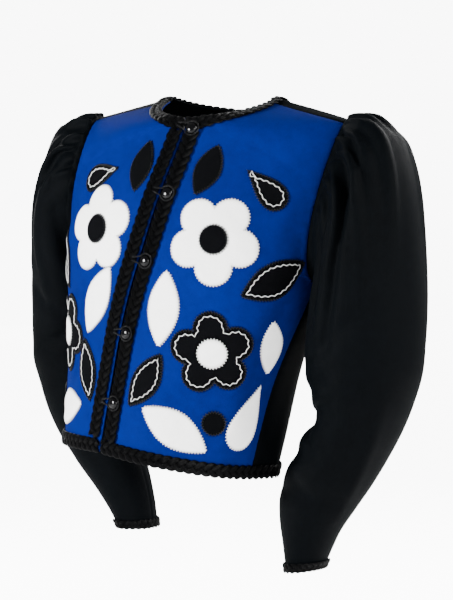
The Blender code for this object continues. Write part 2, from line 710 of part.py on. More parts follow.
def make_braids(tree, sleeve_trees):
    path, normals = neck_path()
    inward = edge_frames(path, normals)
    inward[0], inward[-1] = front_edge_fall("left"), front_edge_fall("right")
    make_strip("neck_braid", "braid_black", tree, path, normals, inward, NECK_BRAID_WIDTH,
               NECK_BRAID_SETBACK, NECK_BRAID_LIFT)
    path, normals = hem_path()
    inward = edge_frames(path, normals)
    if inward[0][2] < 0:
        inward = -inward
    make_strip("hem_braid", "braid_black", tree, path, normals, inward, HEM_BRAID_WIDTH,
               EDGE_BRAID_SETBACK)
    for side in ("left", "right"):
        path, normals = front_edge_path(side)
        inward = edge_frames(path, normals)
        middle = body_point("front", side, np.array([0.5]), np.array([UP_NECK_FRONT / 2]))
        inward = inward * np.sign(np.sum(inward * (middle - path)))
        make_strip(f"front_braid_{side}", "braid_black", tree, path, normals, inward,
                   FRONT_BRAID_WIDTH, FRONT_BRAID_SETBACK)
        turns = np.linspace(0, 2 * math.pi, CUFF_COLUMNS, endpoint=False)
        cuff, above = sleeve_point(side, turns[None, :], np.array([[1.0], [1.0 - CUFF_STEP]]))
        normals = unit(cuff - cuff.mean(axis=0))
        make_strip(f"cuff_braid_{side}", "braid_black", sleeve_trees[side], cuff, normals,
                   unit(above - cuff), CUFF_BRAID_WIDTH, EDGE_BRAID_SETBACK, wrap=True)


# Felt shapes


def leaf_outline(length, width):
    """Pointed oval with one side a little fuller, lengthwise along Y."""
    share = np.linspace(-1, 1, 9)
    half = np.cos(share * math.pi / 2) ** 0.85
    right = np.stack([half * width * 0.54, share * length / 2], axis=-1)
    left = np.stack([-half * width * 0.46, share * length / 2], axis=-1)
    return np.concatenate([right, left[-2:0:-1]])


def drop_outline(length, width):
    """Round at one end, pointed at the other."""
    angle = np.linspace(0, 2 * math.pi, 16, endpoint=False)
    reach = np.cos(angle)
    half = np.sin(angle) * (0.5 - 0.5 * reach) ** 0.75
    return np.stack([half * width * 0.62, reach * length / 2], axis=-1)


def disc_outline(length, width):
    angle = np.linspace(0, 2 * math.pi, 12, endpoint=False)
    return np.stack([np.cos(angle) * width / 2, np.sin(angle) * length / 2], axis=-1)


def flower_outline(length, width, petals=5):
    """Round petals about a middle, four points to a petal."""
    angle = np.linspace(0, 2 * math.pi, petals * 6, endpoint=False)
    reach = 0.66 + 0.34 * np.abs(np.sin(angle * petals / 2)) ** 0.7
    return np.stack([np.sin(angle) * reach * width / 2, np.cos(angle) * reach * length / 2], axis=-1)


OUTLINES = {"leaf": leaf_outline, "drop": drop_outline, "disc": disc_outline, "flower": flower_outline}


def filled_outline(outline):
    """Points and triangles of a flat shape, with inner points that let it bend round the body."""
    low, high = outline.min(axis=0), outline.max(axis=0)
    following = np.roll(outline, -1, axis=0)
    inside = []
    for y in np.arange(low[1] + FILL_SPACING / 2, high[1], FILL_SPACING * FILL_ROW_SHARE):
        for x in np.arange(low[0] + FILL_SPACING / 2, high[0], FILL_SPACING):
            here = np.array([x, y])
            edge = following - outline
            share = np.sum((here - outline) * edge, axis=1) / np.sum(edge ** 2, axis=1)
            nearest = outline + edge * np.clip(share, 0, 1)[:, None]
            gap = np.linalg.norm(nearest - here, axis=1).min()
            turning = np.cross(outline - here, following - here)
            facing = np.sum((outline - here) * (following - here), axis=1)
            winding = np.arctan2(turning, facing).sum()
            if abs(winding) > math.pi and gap > FILL_SPACING * FILL_EDGE_SHARE:
                inside.append((x, y))
    points = [Vector(p) for p in outline.tolist()] + [Vector(p) for p in inside]
    border = [(i, (i + 1) % len(outline)) for i in range(len(outline))]
    verts, _, faces, _, _, _ = delaunay_2d_cdt(points, border, [], 1, 1e-6)
    return np.array([tuple(v) for v in verts]), [tuple(face) for face in faces]


def make_motif(name, motif, side, tree):
    """Felt shape laid on a front: each point drops onto the cloth, then moves out."""
    up = UP_NECK_FRONT * motif.above_hem / (-NECK_DROP_FRONT - HEM_FRONT)
    row = body_point("front", side, np.linspace(0, 1, 33), np.full(33, up))
    lengths = np.concatenate([[0], np.cumsum(np.linalg.norm(np.diff(row, axis=0), axis=1))])
    across = np.interp(motif.from_edge, lengths, np.linspace(0, 1, 33))
    centre = body_point("front", side, np.array([across]), np.array([up]))[0]
    normal = body_normal("front", side, np.array([across]), np.array([up]))[0]
    above = body_point("front", side, np.array([across]), np.array([up + 0.01]))[0] - centre
    above = unit(above - normal * np.dot(above, normal))
    sideways = np.cross(above, normal) * (1 if side == "left" else -1)
    flat, faces = filled_outline(OUTLINES[motif.form](motif.length, motif.width))
    angle = math.radians(motif.turn)
    x = flat[:, 0] * math.cos(angle) - flat[:, 1] * math.sin(angle)
    y = flat[:, 0] * math.sin(angle) + flat[:, 1] * math.cos(angle)
    lift = FELT_LIFT + (motif.layer - 1) * (FELT + LIFT)
    outer, inner = [], []
    for right, up_shift in zip(x, y):
        start = centre + sideways * right + above * up_shift + normal * LAYING_HEIGHT
        place, facing, _, _ = tree.ray_cast(Vector(start), Vector(-normal))
        facing = np.array(facing)
        facing = facing if np.dot(facing, normal) > 0 else -facing
        outer.append(np.array(place) + facing * (lift + FELT))
        inner.append(np.array(place) + facing * lift)
    return finished_object(name, wall_mesh(faces, outer, inner), f"felt_{motif.colour}")


def make_motifs(front_trees):
    for side in ("left", "right"):
        for number, motif in enumerate(MOTIFS, 1):
            make_motif(f"felt_{side}_{number:02d}_{motif.form}", motif, side, front_trees[side])


# Buttons and loops


def front_frame(side, from_edge, drop):
    """Place near the front edge, its normal, and the directions across and up."""
    up = UP_NECK_FRONT * (1 - drop / (-NECK_DROP_FRONT - HEM_FRONT))
    row = body_point("front", side, np.array([0.0, 0.02]), np.array([up, up]))
    across = unit(row[1] - row[0])
    above = body_point("front", side, np.array([0.0]), np.array([up + 0.005]))[0] - row[0]
    normal = body_normal("front", side, np.array([0.02]), np.array([up]))[0]
    above = unit(above - across * np.dot(above, across))
    return row[0] + across * from_edge, normal, across, above


def braid_top(drop):
    """Height of the braid's face over the cloth: the top button sits on the neck braid."""
    return BRAID_THICKNESS + (NECK_BRAID_LIFT if drop < NECK_BRAID_WIDTH else LIFT)


def make_button(number, drop, tree):
    edge, normal, _, _ = front_frame("left", BUTTON_FROM_EDGE, drop)
    place, normal = on_cloth(tree, edge, normal)
    bm = bmesh.new()
    bmesh.ops.create_uvsphere(bm, u_segments=14, v_segments=8, radius=BUTTON_RADIUS)
    bmesh.ops.scale(bm, vec=(1, 1, BUTTON_THICKNESS / (2 * BUTTON_RADIUS)), verts=bm.verts)
    button = finished_object(f"button_{number}", bm, "button_black")
    seat = braid_top(drop) + SEAM_GAP + BUTTON_THICKNESS / 2
    button.location = place + normal * seat
    button.rotation_euler = Vector(normal).to_track_quat("Z", "Y").to_euler()
    return button


def make_loop(number, drop, tree):
    """Satin cord from the right front edge, once round the button."""
    height = braid_top(drop) + SEAM_GAP + LOOP_CORD_RADIUS
    edge, outward, across, above = front_frame("left", BUTTON_FROM_EDGE, drop)
    middle, normal = on_cloth(tree, edge, outward)
    leg_start, leg_turn = -(BUTTON_FROM_EDGE + 0.009), -(BUTTON_FROM_EDGE + 0.003)
    flat = [(leg_start, 0.0021), (leg_turn, 0.0031)]
    for angle in np.radians(np.linspace(150, -150, 13)):
        flat.append((LOOP_RADIUS * math.cos(angle), LOOP_RADIUS * math.sin(angle)))
    flat += [(leg_turn, -0.0031), (leg_start, -0.0021)]
    curve = bpy.data.curves.new(f"button_loop_{number}", "CURVE")
    curve.dimensions = "3D"
    spline = curve.splines.new("POLY")
    spline.points.add(len(flat) - 1)
    for point, (right, up) in zip(spline.points, flat):
        place, facing = on_cloth(tree, middle + across * right + above * up, normal)
        point.co = (*(place + facing * height), 1.0)
    curve.bevel_depth = LOOP_CORD_RADIUS
    curve.bevel_resolution = 1
    curve.use_fill_caps = True
    curve.materials.append(MATERIALS["cord_satin"])
    loop = bpy.data.objects.new(f"button_loop_{number}", curve)
    PARTS.objects.link(loop)
    loop.parent = JACKET
    return loop


def build():
    make_front("left")
    make_front("right")
    make_back()
    make_sleeve("left")
    make_sleeve("right")
    grids = body_grids()
    tree = cloth_tree([(grid, False) for grid in grids.values()])
    front_trees = {side: cloth_tree([(grids["front", side], False)]) for side in ("left", "right")}
    rings, columns = FINE_SLEEVE
    sleeve_trees = {side: cloth_tree([(sleeve_grid(side, columns, rings - 1)[2], True)])
                    for side in ("left", "right")}
    make_braids(tree, sleeve_trees)
    make_motifs(front_trees)
    for number, drop in enumerate(BUTTON_DROPS, 1):
        make_button(number, drop, front_trees["left"])
        make_loop(number, drop, tree)


for leftover in list(bpy.data.objects):
    bpy.data.objects.remove(leftover, do_unlink=True)
PARTS = bpy.data.collections.new("bolero_jacket")
bpy.context.scene.collection.children.link(PARTS)
JACKET = bpy.data.objects.new("jacket", None)
PARTS.objects.link(JACKET)
MATERIALS = {name: make_material(name) for name in FINISHES}
build()
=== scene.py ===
# %% [markdown]
# # A short bolero jacket in its worn form
# The jacket has two blue wool fronts, a black crepe back and two full black sleeves. Plaited braid edges
# it all round, and felt shapes are sewn on the fronts. This lesson dresses a plain solid model of it, piece
# by piece. The solids stay in place as a frame, and every finer piece lies where its solid lies.

import json
import math
from collections import namedtuple

import bpy
import numpy as np
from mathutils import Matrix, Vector
from mathutils.bvhtree import BVHTree
from mathutils.geometry import delaunay_2d_cdt

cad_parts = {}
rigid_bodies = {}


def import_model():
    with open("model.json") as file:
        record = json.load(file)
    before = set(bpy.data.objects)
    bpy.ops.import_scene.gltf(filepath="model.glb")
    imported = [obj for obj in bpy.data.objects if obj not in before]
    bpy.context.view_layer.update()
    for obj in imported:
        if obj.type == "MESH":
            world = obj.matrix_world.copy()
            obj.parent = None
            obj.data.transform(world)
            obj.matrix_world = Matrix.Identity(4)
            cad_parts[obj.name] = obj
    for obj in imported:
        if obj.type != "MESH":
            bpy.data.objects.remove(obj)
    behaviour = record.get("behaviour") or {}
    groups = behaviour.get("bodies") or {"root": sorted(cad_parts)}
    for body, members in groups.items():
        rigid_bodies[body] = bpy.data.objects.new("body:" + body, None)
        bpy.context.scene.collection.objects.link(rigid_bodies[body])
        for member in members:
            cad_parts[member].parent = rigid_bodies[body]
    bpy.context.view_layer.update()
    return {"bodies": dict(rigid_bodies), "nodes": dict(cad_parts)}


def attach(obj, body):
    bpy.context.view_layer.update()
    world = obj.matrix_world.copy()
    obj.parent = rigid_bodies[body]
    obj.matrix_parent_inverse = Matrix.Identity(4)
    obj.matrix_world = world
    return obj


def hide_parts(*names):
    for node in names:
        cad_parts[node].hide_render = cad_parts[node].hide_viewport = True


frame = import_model()
known = set(frame["nodes"].values()) | set(frame["bodies"].values())
for leftover in [o for o in bpy.data.objects if o not in known]:
    bpy.data.objects.remove(leftover, do_unlink=True)


def add_object(name, data):
    """New object in the scene, at the origin."""
    made = bpy.data.objects.new(name, data)
    bpy.context.scene.collection.objects.link(made)
    return made

# %% [markdown]
# The cloth is drawn as a straight, symmetric jacket first: named sizes give its neck, shoulders, armholes
# and hem, and a short table gives its depth by height. A second table turns and leans it into the pose it
# is worn in. Numbers in tables are easier to change than a sculpted mesh, and both fronts use the same ones.

# %% Sizes of the straight jacket and its pose
# Neck, shoulders and armholes of the straight jacket
NECK_HALF_WIDTH = 0.070
NECK_DROP_FRONT = 0.034
NECK_DROP_BACK = 0.010
NECK_DEPTH_FRONT = 0.088
NECK_DEPTH_BACK = 0.078
NECK_CURVE = 0.8
SHOULDER_TIP = (0.175, -0.027)
UNDERARM_HEIGHT = -0.215
ARMHOLE_FRONT_BULGE = 0.048
ARMHOLE_BACK_BULGE = 0.046
ARMHOLE_SCOOP = 0.003

# Hem heights, and the opening between the fronts
HEM_FRONT = -0.443
HEM_SIDE = -0.455
HEM_BACK = -0.460
OPENING_AT_NECK = 0.0012
OPENING_AT_HEM = 0.0050
BODY_FULLNESS = 0.88

# Where a panel's rows pass from side seam to armhole, and from front edge to neckline
UP_ARMHOLE = 0.50
UP_NECK_FRONT = 0.775
UP_NECK_BACK = 0.80

# The back reaches over the shoulder's ridge: where the front ends at the armhole and at the neck
UP_SEAM_ARMHOLE = 0.95
UP_SEAM_NECK = 0.985

# How far a panel's rows bend round the body at the shoulder, and the reach over which a fold fades
END_TURN = 30.0
FOLD_FADE = 0.35

Level = namedtuple("Level", "height half_width front_depth back_depth")
BODY_LEVELS = (
    Level(-0.460, 0.143, 0.118, 0.120),
    Level(-0.350, 0.151, 0.120, 0.117),
    Level(-0.215, 0.177, 0.124, 0.115),
    Level(-0.120, 0.180, 0.114, 0.110),
    Level(-0.034, 0.180, 0.088, 0.090),
    Level(0.000, 0.180, 0.078, 0.078),
)

Pose = namedtuple("Pose", "height shift_x shift_y turn roll")
BODY_POSE = (
    Pose(-0.460, -0.079, 0.000, -14.5, 6.2),
    Pose(-0.300, -0.052, 0.000, -9.0, 6.0),
    Pose(-0.150, -0.025, 0.000, 0.5, 5.0),
    Pose(-0.030, -0.001, 0.000, 4.0, 3.2),
    Pose(0.030, 0.002, 0.000, 4.0, 3.0),
)

# Soft folds in the panels: depth is outward, and each fades out at its top
Fold = namedtuple("Fold", "panel across depth spread top")
BODY_FOLDS = (
    Fold("front", 0.76, 0.0024, 0.110, 0.62),
    Fold("front", 0.50, -0.0012, 0.100, 0.40),
    Fold("back", 0.28, 0.0040, 0.100, 0.66),
    Fold("back", 0.54, -0.0030, 0.100, 0.55),
    Fold("back", 0.78, 0.0028, 0.090, 0.60),
)
print("body levels:", len(BODY_LEVELS), "pose rows:", len(BODY_POSE), "panel folds:", len(BODY_FOLDS))

# %% [markdown]
# Each sleeve hangs from its armhole through a row of ovals. Gathers lift its head, and creases cross the
# bend of the arm, so both are tables too.

# %% Sleeve ovals, gathers and creases
# Sleeve sections from the armhole to the cuff: each is an oval between an inner and an outer point
Ring = namedtuple("Ring", "inner_x inner_z outer_x outer_z middle_y half_depth")
LEFT_SLEEVE = (
    Ring(0.1480, -0.227, 0.184, -0.031, 0.000, 0.058),
    Ring(0.1500, -0.234, 0.210, -0.036, 0.001, 0.067),
    Ring(0.1470, -0.246, 0.234, -0.056, 0.002, 0.075),
    Ring(0.1420, -0.258, 0.247, -0.086, 0.004, 0.080),
    Ring(0.1360, -0.271, 0.255, -0.122, 0.006, 0.083),
    Ring(0.1310, -0.284, 0.259, -0.163, 0.009, 0.084),
    Ring(0.1260, -0.298, 0.261, -0.208, 0.013, 0.084),
    Ring(0.1210, -0.314, 0.261, -0.254, 0.018, 0.084),
    Ring(0.1170, -0.333, 0.258, -0.298, 0.024, 0.083),
    Ring(0.1160, -0.355, 0.252, -0.340, 0.030, 0.080),
    Ring(0.1200, -0.380, 0.238, -0.378, 0.036, 0.074),
    Ring(0.1110, -0.404, 0.221, -0.414, 0.041, 0.069),
    Ring(0.0920, -0.430, 0.200, -0.449, 0.046, 0.064),
    Ring(0.0750, -0.458, 0.178, -0.482, 0.050, 0.057),
    Ring(0.0600, -0.489, 0.154, -0.513, 0.055, 0.049),
    Ring(0.0560, -0.523, 0.132, -0.541, 0.059, 0.043),
    Ring(0.0585, -0.560, 0.1175, -0.565, 0.063, 0.0375),
    Ring(0.0620, -0.595, 0.1050, -0.589, 0.065, 0.0330),
)
RIGHT_SLEEVE = (
    Ring(-0.2215, -0.194, -0.182, -0.013, 0.000, 0.058),
    Ring(-0.2250, -0.200, -0.208, -0.016, 0.006, 0.066),
    Ring(-0.2260, -0.211, -0.236, -0.030, 0.014, 0.074),
    Ring(-0.2265, -0.222, -0.259, -0.056, 0.024, 0.079),
    Ring(-0.2265, -0.234, -0.281, -0.089, 0.036, 0.082),
    Ring(-0.2260, -0.246, -0.299, -0.128, 0.049, 0.083),
    Ring(-0.2240, -0.260, -0.313, -0.169, 0.062, 0.083),
    Ring(-0.2240, -0.276, -0.326, -0.211, 0.075, 0.082),
    Ring(-0.2240, -0.294, -0.336, -0.253, 0.086, 0.080),
    Ring(-0.2240, -0.315, -0.345, -0.295, 0.095, 0.077),
    Ring(-0.2240, -0.339, -0.348, -0.333, 0.102, 0.073),
    Ring(-0.2230, -0.366, -0.345, -0.370, 0.107, 0.068),
    Ring(-0.2200, -0.395, -0.336, -0.408, 0.111, 0.062),
    Ring(-0.2140, -0.426, -0.318, -0.445, 0.114, 0.056),
    Ring(-0.2060, -0.458, -0.294, -0.479, 0.116, 0.049),
    Ring(-0.1950, -0.491, -0.267, -0.511, 0.117, 0.042),
    Ring(-0.1860, -0.527, -0.246, -0.539, 0.118, 0.036),
    Ring(-0.1810, -0.564, -0.230, -0.562, 0.118, 0.033),
)
SIDES = ("left", "right")
SLEEVES = dict(zip(SIDES, (LEFT_SLEEVE, RIGHT_SLEEVE)))

# Gathers in the sleeve head: angle from the shoulder tip towards the front, and how far down each runs
Gather = namedtuple("Gather", "angle depth length")
GATHERS = (
    Gather(9.0, 0.0064, 0.22),
    Gather(27.0, 0.0092, 0.42),
    Gather(45.0, 0.0084, 0.34),
    Gather(63.0, 0.0090, 0.50),
    Gather(81.0, 0.0068, 0.30),
    Gather(99.0, 0.0038, 0.24),
    Gather(-9.0, 0.0064, 0.26),
    Gather(-27.0, 0.0084, 0.38),
    Gather(-45.0, 0.0074, 0.46),
    Gather(-63.0, 0.0076, 0.32),
    Gather(-81.0, 0.0046, 0.28),
)
GATHER_HALF_ANGLE = 11.0
GATHER_START = 0.06

# Creases across the bend of the arm: place along the sleeve, angle round it, depth and spreads
Crease = namedtuple("Crease", "along angle depth spread_along spread_angle tilt")
CREASES = (
    Crease(0.57, 138.0, -0.0032, 0.022, 45.0, 0.020),
    Crease(0.65, 165.0, -0.0088, 0.024, 60.0, -0.015),
    Crease(0.74, 140.0, -0.0050, 0.022, 50.0, 0.025),
    Crease(0.60, 70.0, 0.0040, 0.030, 40.0, -0.050),
    Crease(0.47, 100.0, -0.0040, 0.024, 42.0, 0.060),
    Crease(0.82, 110.0, -0.0030, 0.018, 60.0, 0.010),
)
print("ovals to a sleeve:", len(LEFT_SLEEVE), "gathers:", len(GATHERS), "elbow creases:", len(CREASES))

# %% [markdown]
# A table gives values at a few heights only. A cubic through them gives a smooth value at any height, and
# that is all that the shape functions need.

# %% Smooth curves through a table
def table_curve(rows, key, value, at):
    """Smooth curve through one column of a table, read against another."""
    ordered = sorted(rows, key=lambda row: getattr(row, key))
    knots = np.array([getattr(row, key) for row in ordered])
    values = np.array([getattr(row, value) for row in ordered])
    return smooth_curve(knots, values, at)


def smooth_curve(knots, values, at):
    """Cubic through the values, with each slope taken from the neighbours."""
    slopes = np.gradient(values, knots, axis=0)
    at = np.clip(at, knots[0], knots[-1])
    start = np.clip(np.searchsorted(knots, at) - 1, 0, len(knots) - 2)
    span = knots[start + 1] - knots[start]
    t = (at - knots[start]) / span
    if values.ndim > 1:
        span, t = span[..., None], t[..., None]
    return ((1 + 2 * t) * (1 - t) ** 2 * values[start] + t * (1 - t) ** 2 * span * slopes[start]
            + t ** 2 * (3 - 2 * t) * values[start + 1] + t ** 2 * (t - 1) * span * slopes[start + 1])


def smooth_step(x):
    x = np.clip(x, 0.0, 1.0)
    return x * x * (3 - 2 * x)


def unit(vectors):
    return vectors / np.linalg.norm(vectors, axis=-1, keepdims=True)


print("half width at the underarm:",
      round(float(table_curve(BODY_LEVELS, "height", "half_width", UNDERARM_HEIGHT)), 4))

# %% [markdown]
# A front or back panel lies between an inner edge, which is the front opening or the centre back and then
# the neckline, and an outer edge, which is the side seam and then the armhole.

# %% Panel edges and the panel between them
DEPTH_BLEND = 4


def armhole(panel, angle):
    """Armhole edge of the straight jacket: angle 0 at the underarm, pi at the shoulder tip."""
    bulge = -ARMHOLE_FRONT_BULGE if panel == "front" else ARMHOLE_BACK_BULGE
    share = (1 - np.cos(angle)) / 2
    side_x = table_curve(BODY_LEVELS, "height", "half_width", UNDERARM_HEIGHT)
    x = side_x + (SHOULDER_TIP[0] - side_x) * share - ARMHOLE_SCOOP * np.sin(angle)
    z = UNDERARM_HEIGHT + (SHOULDER_TIP[1] - UNDERARM_HEIGHT) * share
    return np.stack([x, bulge * np.sin(angle), z], axis=-1)


def outer_edge(panel, up):
    """Side seam, then armhole."""
    hem_share = np.clip(up / UP_ARMHOLE, 0, 1)
    z = HEM_SIDE + (UNDERARM_HEIGHT - HEM_SIDE) * hem_share
    x = table_curve(BODY_LEVELS, "height", "half_width", z)
    seam = np.stack([x, np.zeros_like(x), z], axis=-1)
    angle = math.pi * np.clip((up - UP_ARMHOLE) / (1 - UP_ARMHOLE), 0, 1)
    return np.where((up > UP_ARMHOLE)[..., None], armhole(panel, angle), seam)


def inner_edge(panel, up):
    """Front edge or centre back, then neckline."""
    front = panel == "front"
    up_neck = UP_NECK_FRONT if front else UP_NECK_BACK
    hem = HEM_FRONT if front else HEM_BACK
    drop = -NECK_DROP_FRONT if front else -NECK_DROP_BACK
    depth_name = "front_depth" if front else "back_depth"
    neck_depth = NECK_DEPTH_FRONT if front else NECK_DEPTH_BACK
    side = -1 if front else 1
    share = np.clip(up / up_neck, 0, 1)
    z = hem + (drop - hem) * share
    opening = OPENING_AT_HEM + (OPENING_AT_NECK - OPENING_AT_HEM) * share
    x = opening / 2 if front else np.zeros_like(share)
    depth = table_curve(BODY_LEVELS, "height", depth_name, z)
    correction = neck_depth - table_curve(BODY_LEVELS, "height", depth_name, drop)
    edge = np.stack([x, side * (depth + correction * share ** DEPTH_BLEND), z], axis=-1)
    angle = math.pi / 2 * np.clip((up - up_neck) / (1 - up_neck), 0, 1)
    start_x = OPENING_AT_NECK / 2 if front else 0.0
    neck = np.stack([start_x + (NECK_HALF_WIDTH - start_x) * np.sin(angle),
                     side * neck_depth * np.cos(angle),
                     drop * np.cos(angle) ** NECK_CURVE], axis=-1)
    return np.where((up > up_neck)[..., None], neck, edge)


print("left underarm, unposed:", outer_edge("front", np.array(UP_ARMHOLE)).round(3).tolist())

# %% [markdown]
# Between its edges a panel bends round the body, more at the waist than at the shoulder, and soft folds
# lift it a little along its own normal.

# %% The panel between its edges
def flat_half(panel, across, up):
    """Point of the left half of a panel: across from the middle to the side, up from the hem."""
    across, up = np.broadcast_arrays(np.asarray(across, float), np.asarray(up, float))
    start, end = inner_edge(panel, up), outer_edge(panel, up)
    rise = smooth_step((up - UP_ARMHOLE) / (1 - UP_ARMHOLE))
    turn = np.radians(90 - (90 - END_TURN) * rise)
    power = 1 - (1 - BODY_FULLNESS) * (1 - rise)
    sideways = (np.sin(across * turn) / np.sin(turn)) ** power
    backward = (1 - np.cos(across * turn) ** power) / (1 - np.cos(turn) ** power)
    share = np.stack([sideways, backward, across], axis=-1)
    point = start + (end - start) * share
    outward = 1 if panel == "back" else -1
    for fold in BODY_FOLDS:
        if fold.panel == panel:
            ridge = np.exp(-((across - fold.across) / fold.spread) ** 2)
            height = fold.depth * ridge * smooth_step((fold.top - up) / FOLD_FADE)
            angle = across * turn
            point = point + np.stack([np.sin(angle) * height, outward * np.cos(angle) * height,
                                      np.zeros_like(height)], axis=-1)
    return point


print("middle of the front, unposed:", flat_half("front", 0.5, 0.5).round(3).tolist())

# %% [markdown]
# The worn jacket hangs a little to one side, so each height is turned, leaned and shifted by a table. The
# cloth's normal is found by small steps on the posed cloth, and panels that meet at a seam share one normal
# there, so that their walls line up.

# %% The worn pose, and the cloth's normal
NORMAL_STEP = 0.002
SEAM_STEP = 0.001
UNDERARM_PULL = 5
ON_SEAM = 0.9999
TINY = 1e-6


def posed(points):
    """Turn, lean and shift of the worn jacket, by height."""
    x, y, z = points[..., 0], points[..., 1], points[..., 2]
    turn = np.radians(table_curve(BODY_POSE, "height", "turn", z))
    roll = np.radians(table_curve(BODY_POSE, "height", "roll", z))
    turned_x = x * np.cos(turn) - y * np.sin(turn)
    turned_y = x * np.sin(turn) + y * np.cos(turn)
    return np.stack([turned_x + table_curve(BODY_POSE, "height", "shift_x", z),
                     turned_y + table_curve(BODY_POSE, "height", "shift_y", z),
                     z - turned_x * np.sin(roll)], axis=-1)


def mirrored(points, side):
    return points * np.array([1 if side == "left" else -1, 1, 1])


def body_point(panel, side, across, up):
    return posed(mirrored(flat_half(panel, across, up), side))


def body_normal(panel, side, across, up):
    """Outward normal of a panel, by small steps. At the seams both panels share one."""
    across, up = np.broadcast_arrays(np.asarray(across, float), np.asarray(up, float))
    low_a, high_a = np.clip(across - NORMAL_STEP, 0, 1), np.clip(across + NORMAL_STEP, 0, 1)
    low_u, high_u = np.clip(up - NORMAL_STEP, 0, 1), np.clip(up + NORMAL_STEP, 0, 1)
    along = body_point(panel, side, high_a, up) - body_point(panel, side, low_a, up)
    rising = body_point(panel, side, across, high_u) - body_point(panel, side, across, low_u)
    normal = unit(np.cross(along, rising))
    if (panel == "front") != (side == "left"):
        normal = -normal
    slope = math.atan2(SHOULDER_TIP[1], SHOULDER_TIP[0] - NECK_HALF_WIDTH)
    across_seam = np.array([1.0, 0.0, 0.0])
    above_seam = np.array([-math.sin(slope), 0.0, math.cos(slope)])
    origin = flat_half(panel, across, up)
    for on_seam, flat_normal in (((across > ON_SEAM) & (up < UP_ARMHOLE), across_seam),
                                 (up > ON_SEAM, above_seam)):
        lifted = posed(mirrored(origin + SEAM_STEP * flat_normal, side)) - posed(mirrored(origin, side))
        normal = np.where(on_seam[..., None], unit(lifted), normal)
    underarm = (across > ON_SEAM) & (up >= UP_ARMHOLE - TINY) & (up < ON_SEAM)
    opening = (up - UP_ARMHOLE) / (1 - UP_ARMHOLE)
    moved = posed(mirrored(origin + SEAM_STEP * across_seam, side))
    sideways = unit(moved - posed(mirrored(origin, side)))
    pull = np.where(underarm, 1 - smooth_step(opening * UNDERARM_PULL), 0.0)[..., None]
    return unit(normal * (1 - pull) + sideways * pull)


print("left shoulder tip:", body_point("front", "left", 1.0, 1.0).round(3).tolist())

# %% [markdown]
# The shoulder seam does not lie on the ridge of the shoulder: the back reaches a little way over it. So
# the back's last rows are read from the front's surface, and the front ends where the back begins.

# %% The back reaches over the shoulder
def panel_grid(panel, across, up):
    """Grid of a panel whose last row follows the shoulder seam, nearer the ridge at the neck."""
    across, up = np.meshgrid(across, up)
    if panel == "front":
        share = smooth_step((up - UP_NECK_FRONT) / (UP_SEAM_ARMHOLE - UP_NECK_FRONT))
    else:
        share = -np.clip((up - 1) / (1 - UP_SEAM_ARMHOLE), 0, 1)
    return across, up + (1 - across) * (UP_SEAM_NECK - UP_SEAM_ARMHOLE) * share


def over_ridge(function, panel, side, across, up):
    """A point or normal of a panel. The back's rows past 1 are read from the front's surface."""
    if panel == "front":
        return function(panel, side, across, up)
    ahead = function("front", side, across, np.minimum(2 - up, 1))
    return np.where((up > 1)[..., None], ahead, function("back", side, across, np.minimum(up, 1)))


def seam_up(across):
    """Share of the height at which the shoulder seam crosses a front."""
    return UP_SEAM_ARMHOLE + (1 - across) * (UP_SEAM_NECK - UP_SEAM_ARMHOLE)


print("shoulder seam, as a share of a front:", round(seam_up(0), 3), "at the neck,", seam_up(1), "outside")

# %% [markdown]
# A sleeve starts on the armhole edge itself, rises over its gathers and passes into the ovals. One formula
# gives any point of it, so the same sleeve can be drawn coarse or fine.

# %% Sleeve surface
SEAM_GAP = 0.0003
HEAD_RISE = 0.005
HEAD_OUT = 0.001
HEAD_RISE_END = 0.028
HEAD_BLEND = 0.10
LEAN_END = 0.35


def armhole_loop(side, turns):
    """Posed armhole edge and its cloth normals, from the shoulder tip round the front."""
    turns = np.asarray(turns)
    front = turns <= math.pi + 1e-9
    up = UP_ARMHOLE + (1 - UP_ARMHOLE) * np.where(front, math.pi - turns, turns - math.pi) / math.pi
    ones = np.ones_like(up)
    points = np.where(front[:, None], body_point("front", side, ones, up),
                      body_point("back", side, ones, up))
    normals = np.where(front[:, None], body_normal("front", side, ones, up),
                       body_normal("back", side, ones, up))
    return points, normals


def away_from_panel(seam, normals):
    """Direction in the cloth's own plane, from the armhole edge towards the arm."""
    tangent = np.roll(seam, -1, axis=0) - np.roll(seam, 1, axis=0)
    away = unit(np.cross(normals, tangent))
    tip_to_underarm = seam[0] - seam[len(seam) // 2]
    return away if np.dot(away[len(seam) // 2], tip_to_underarm) > 0 else -away


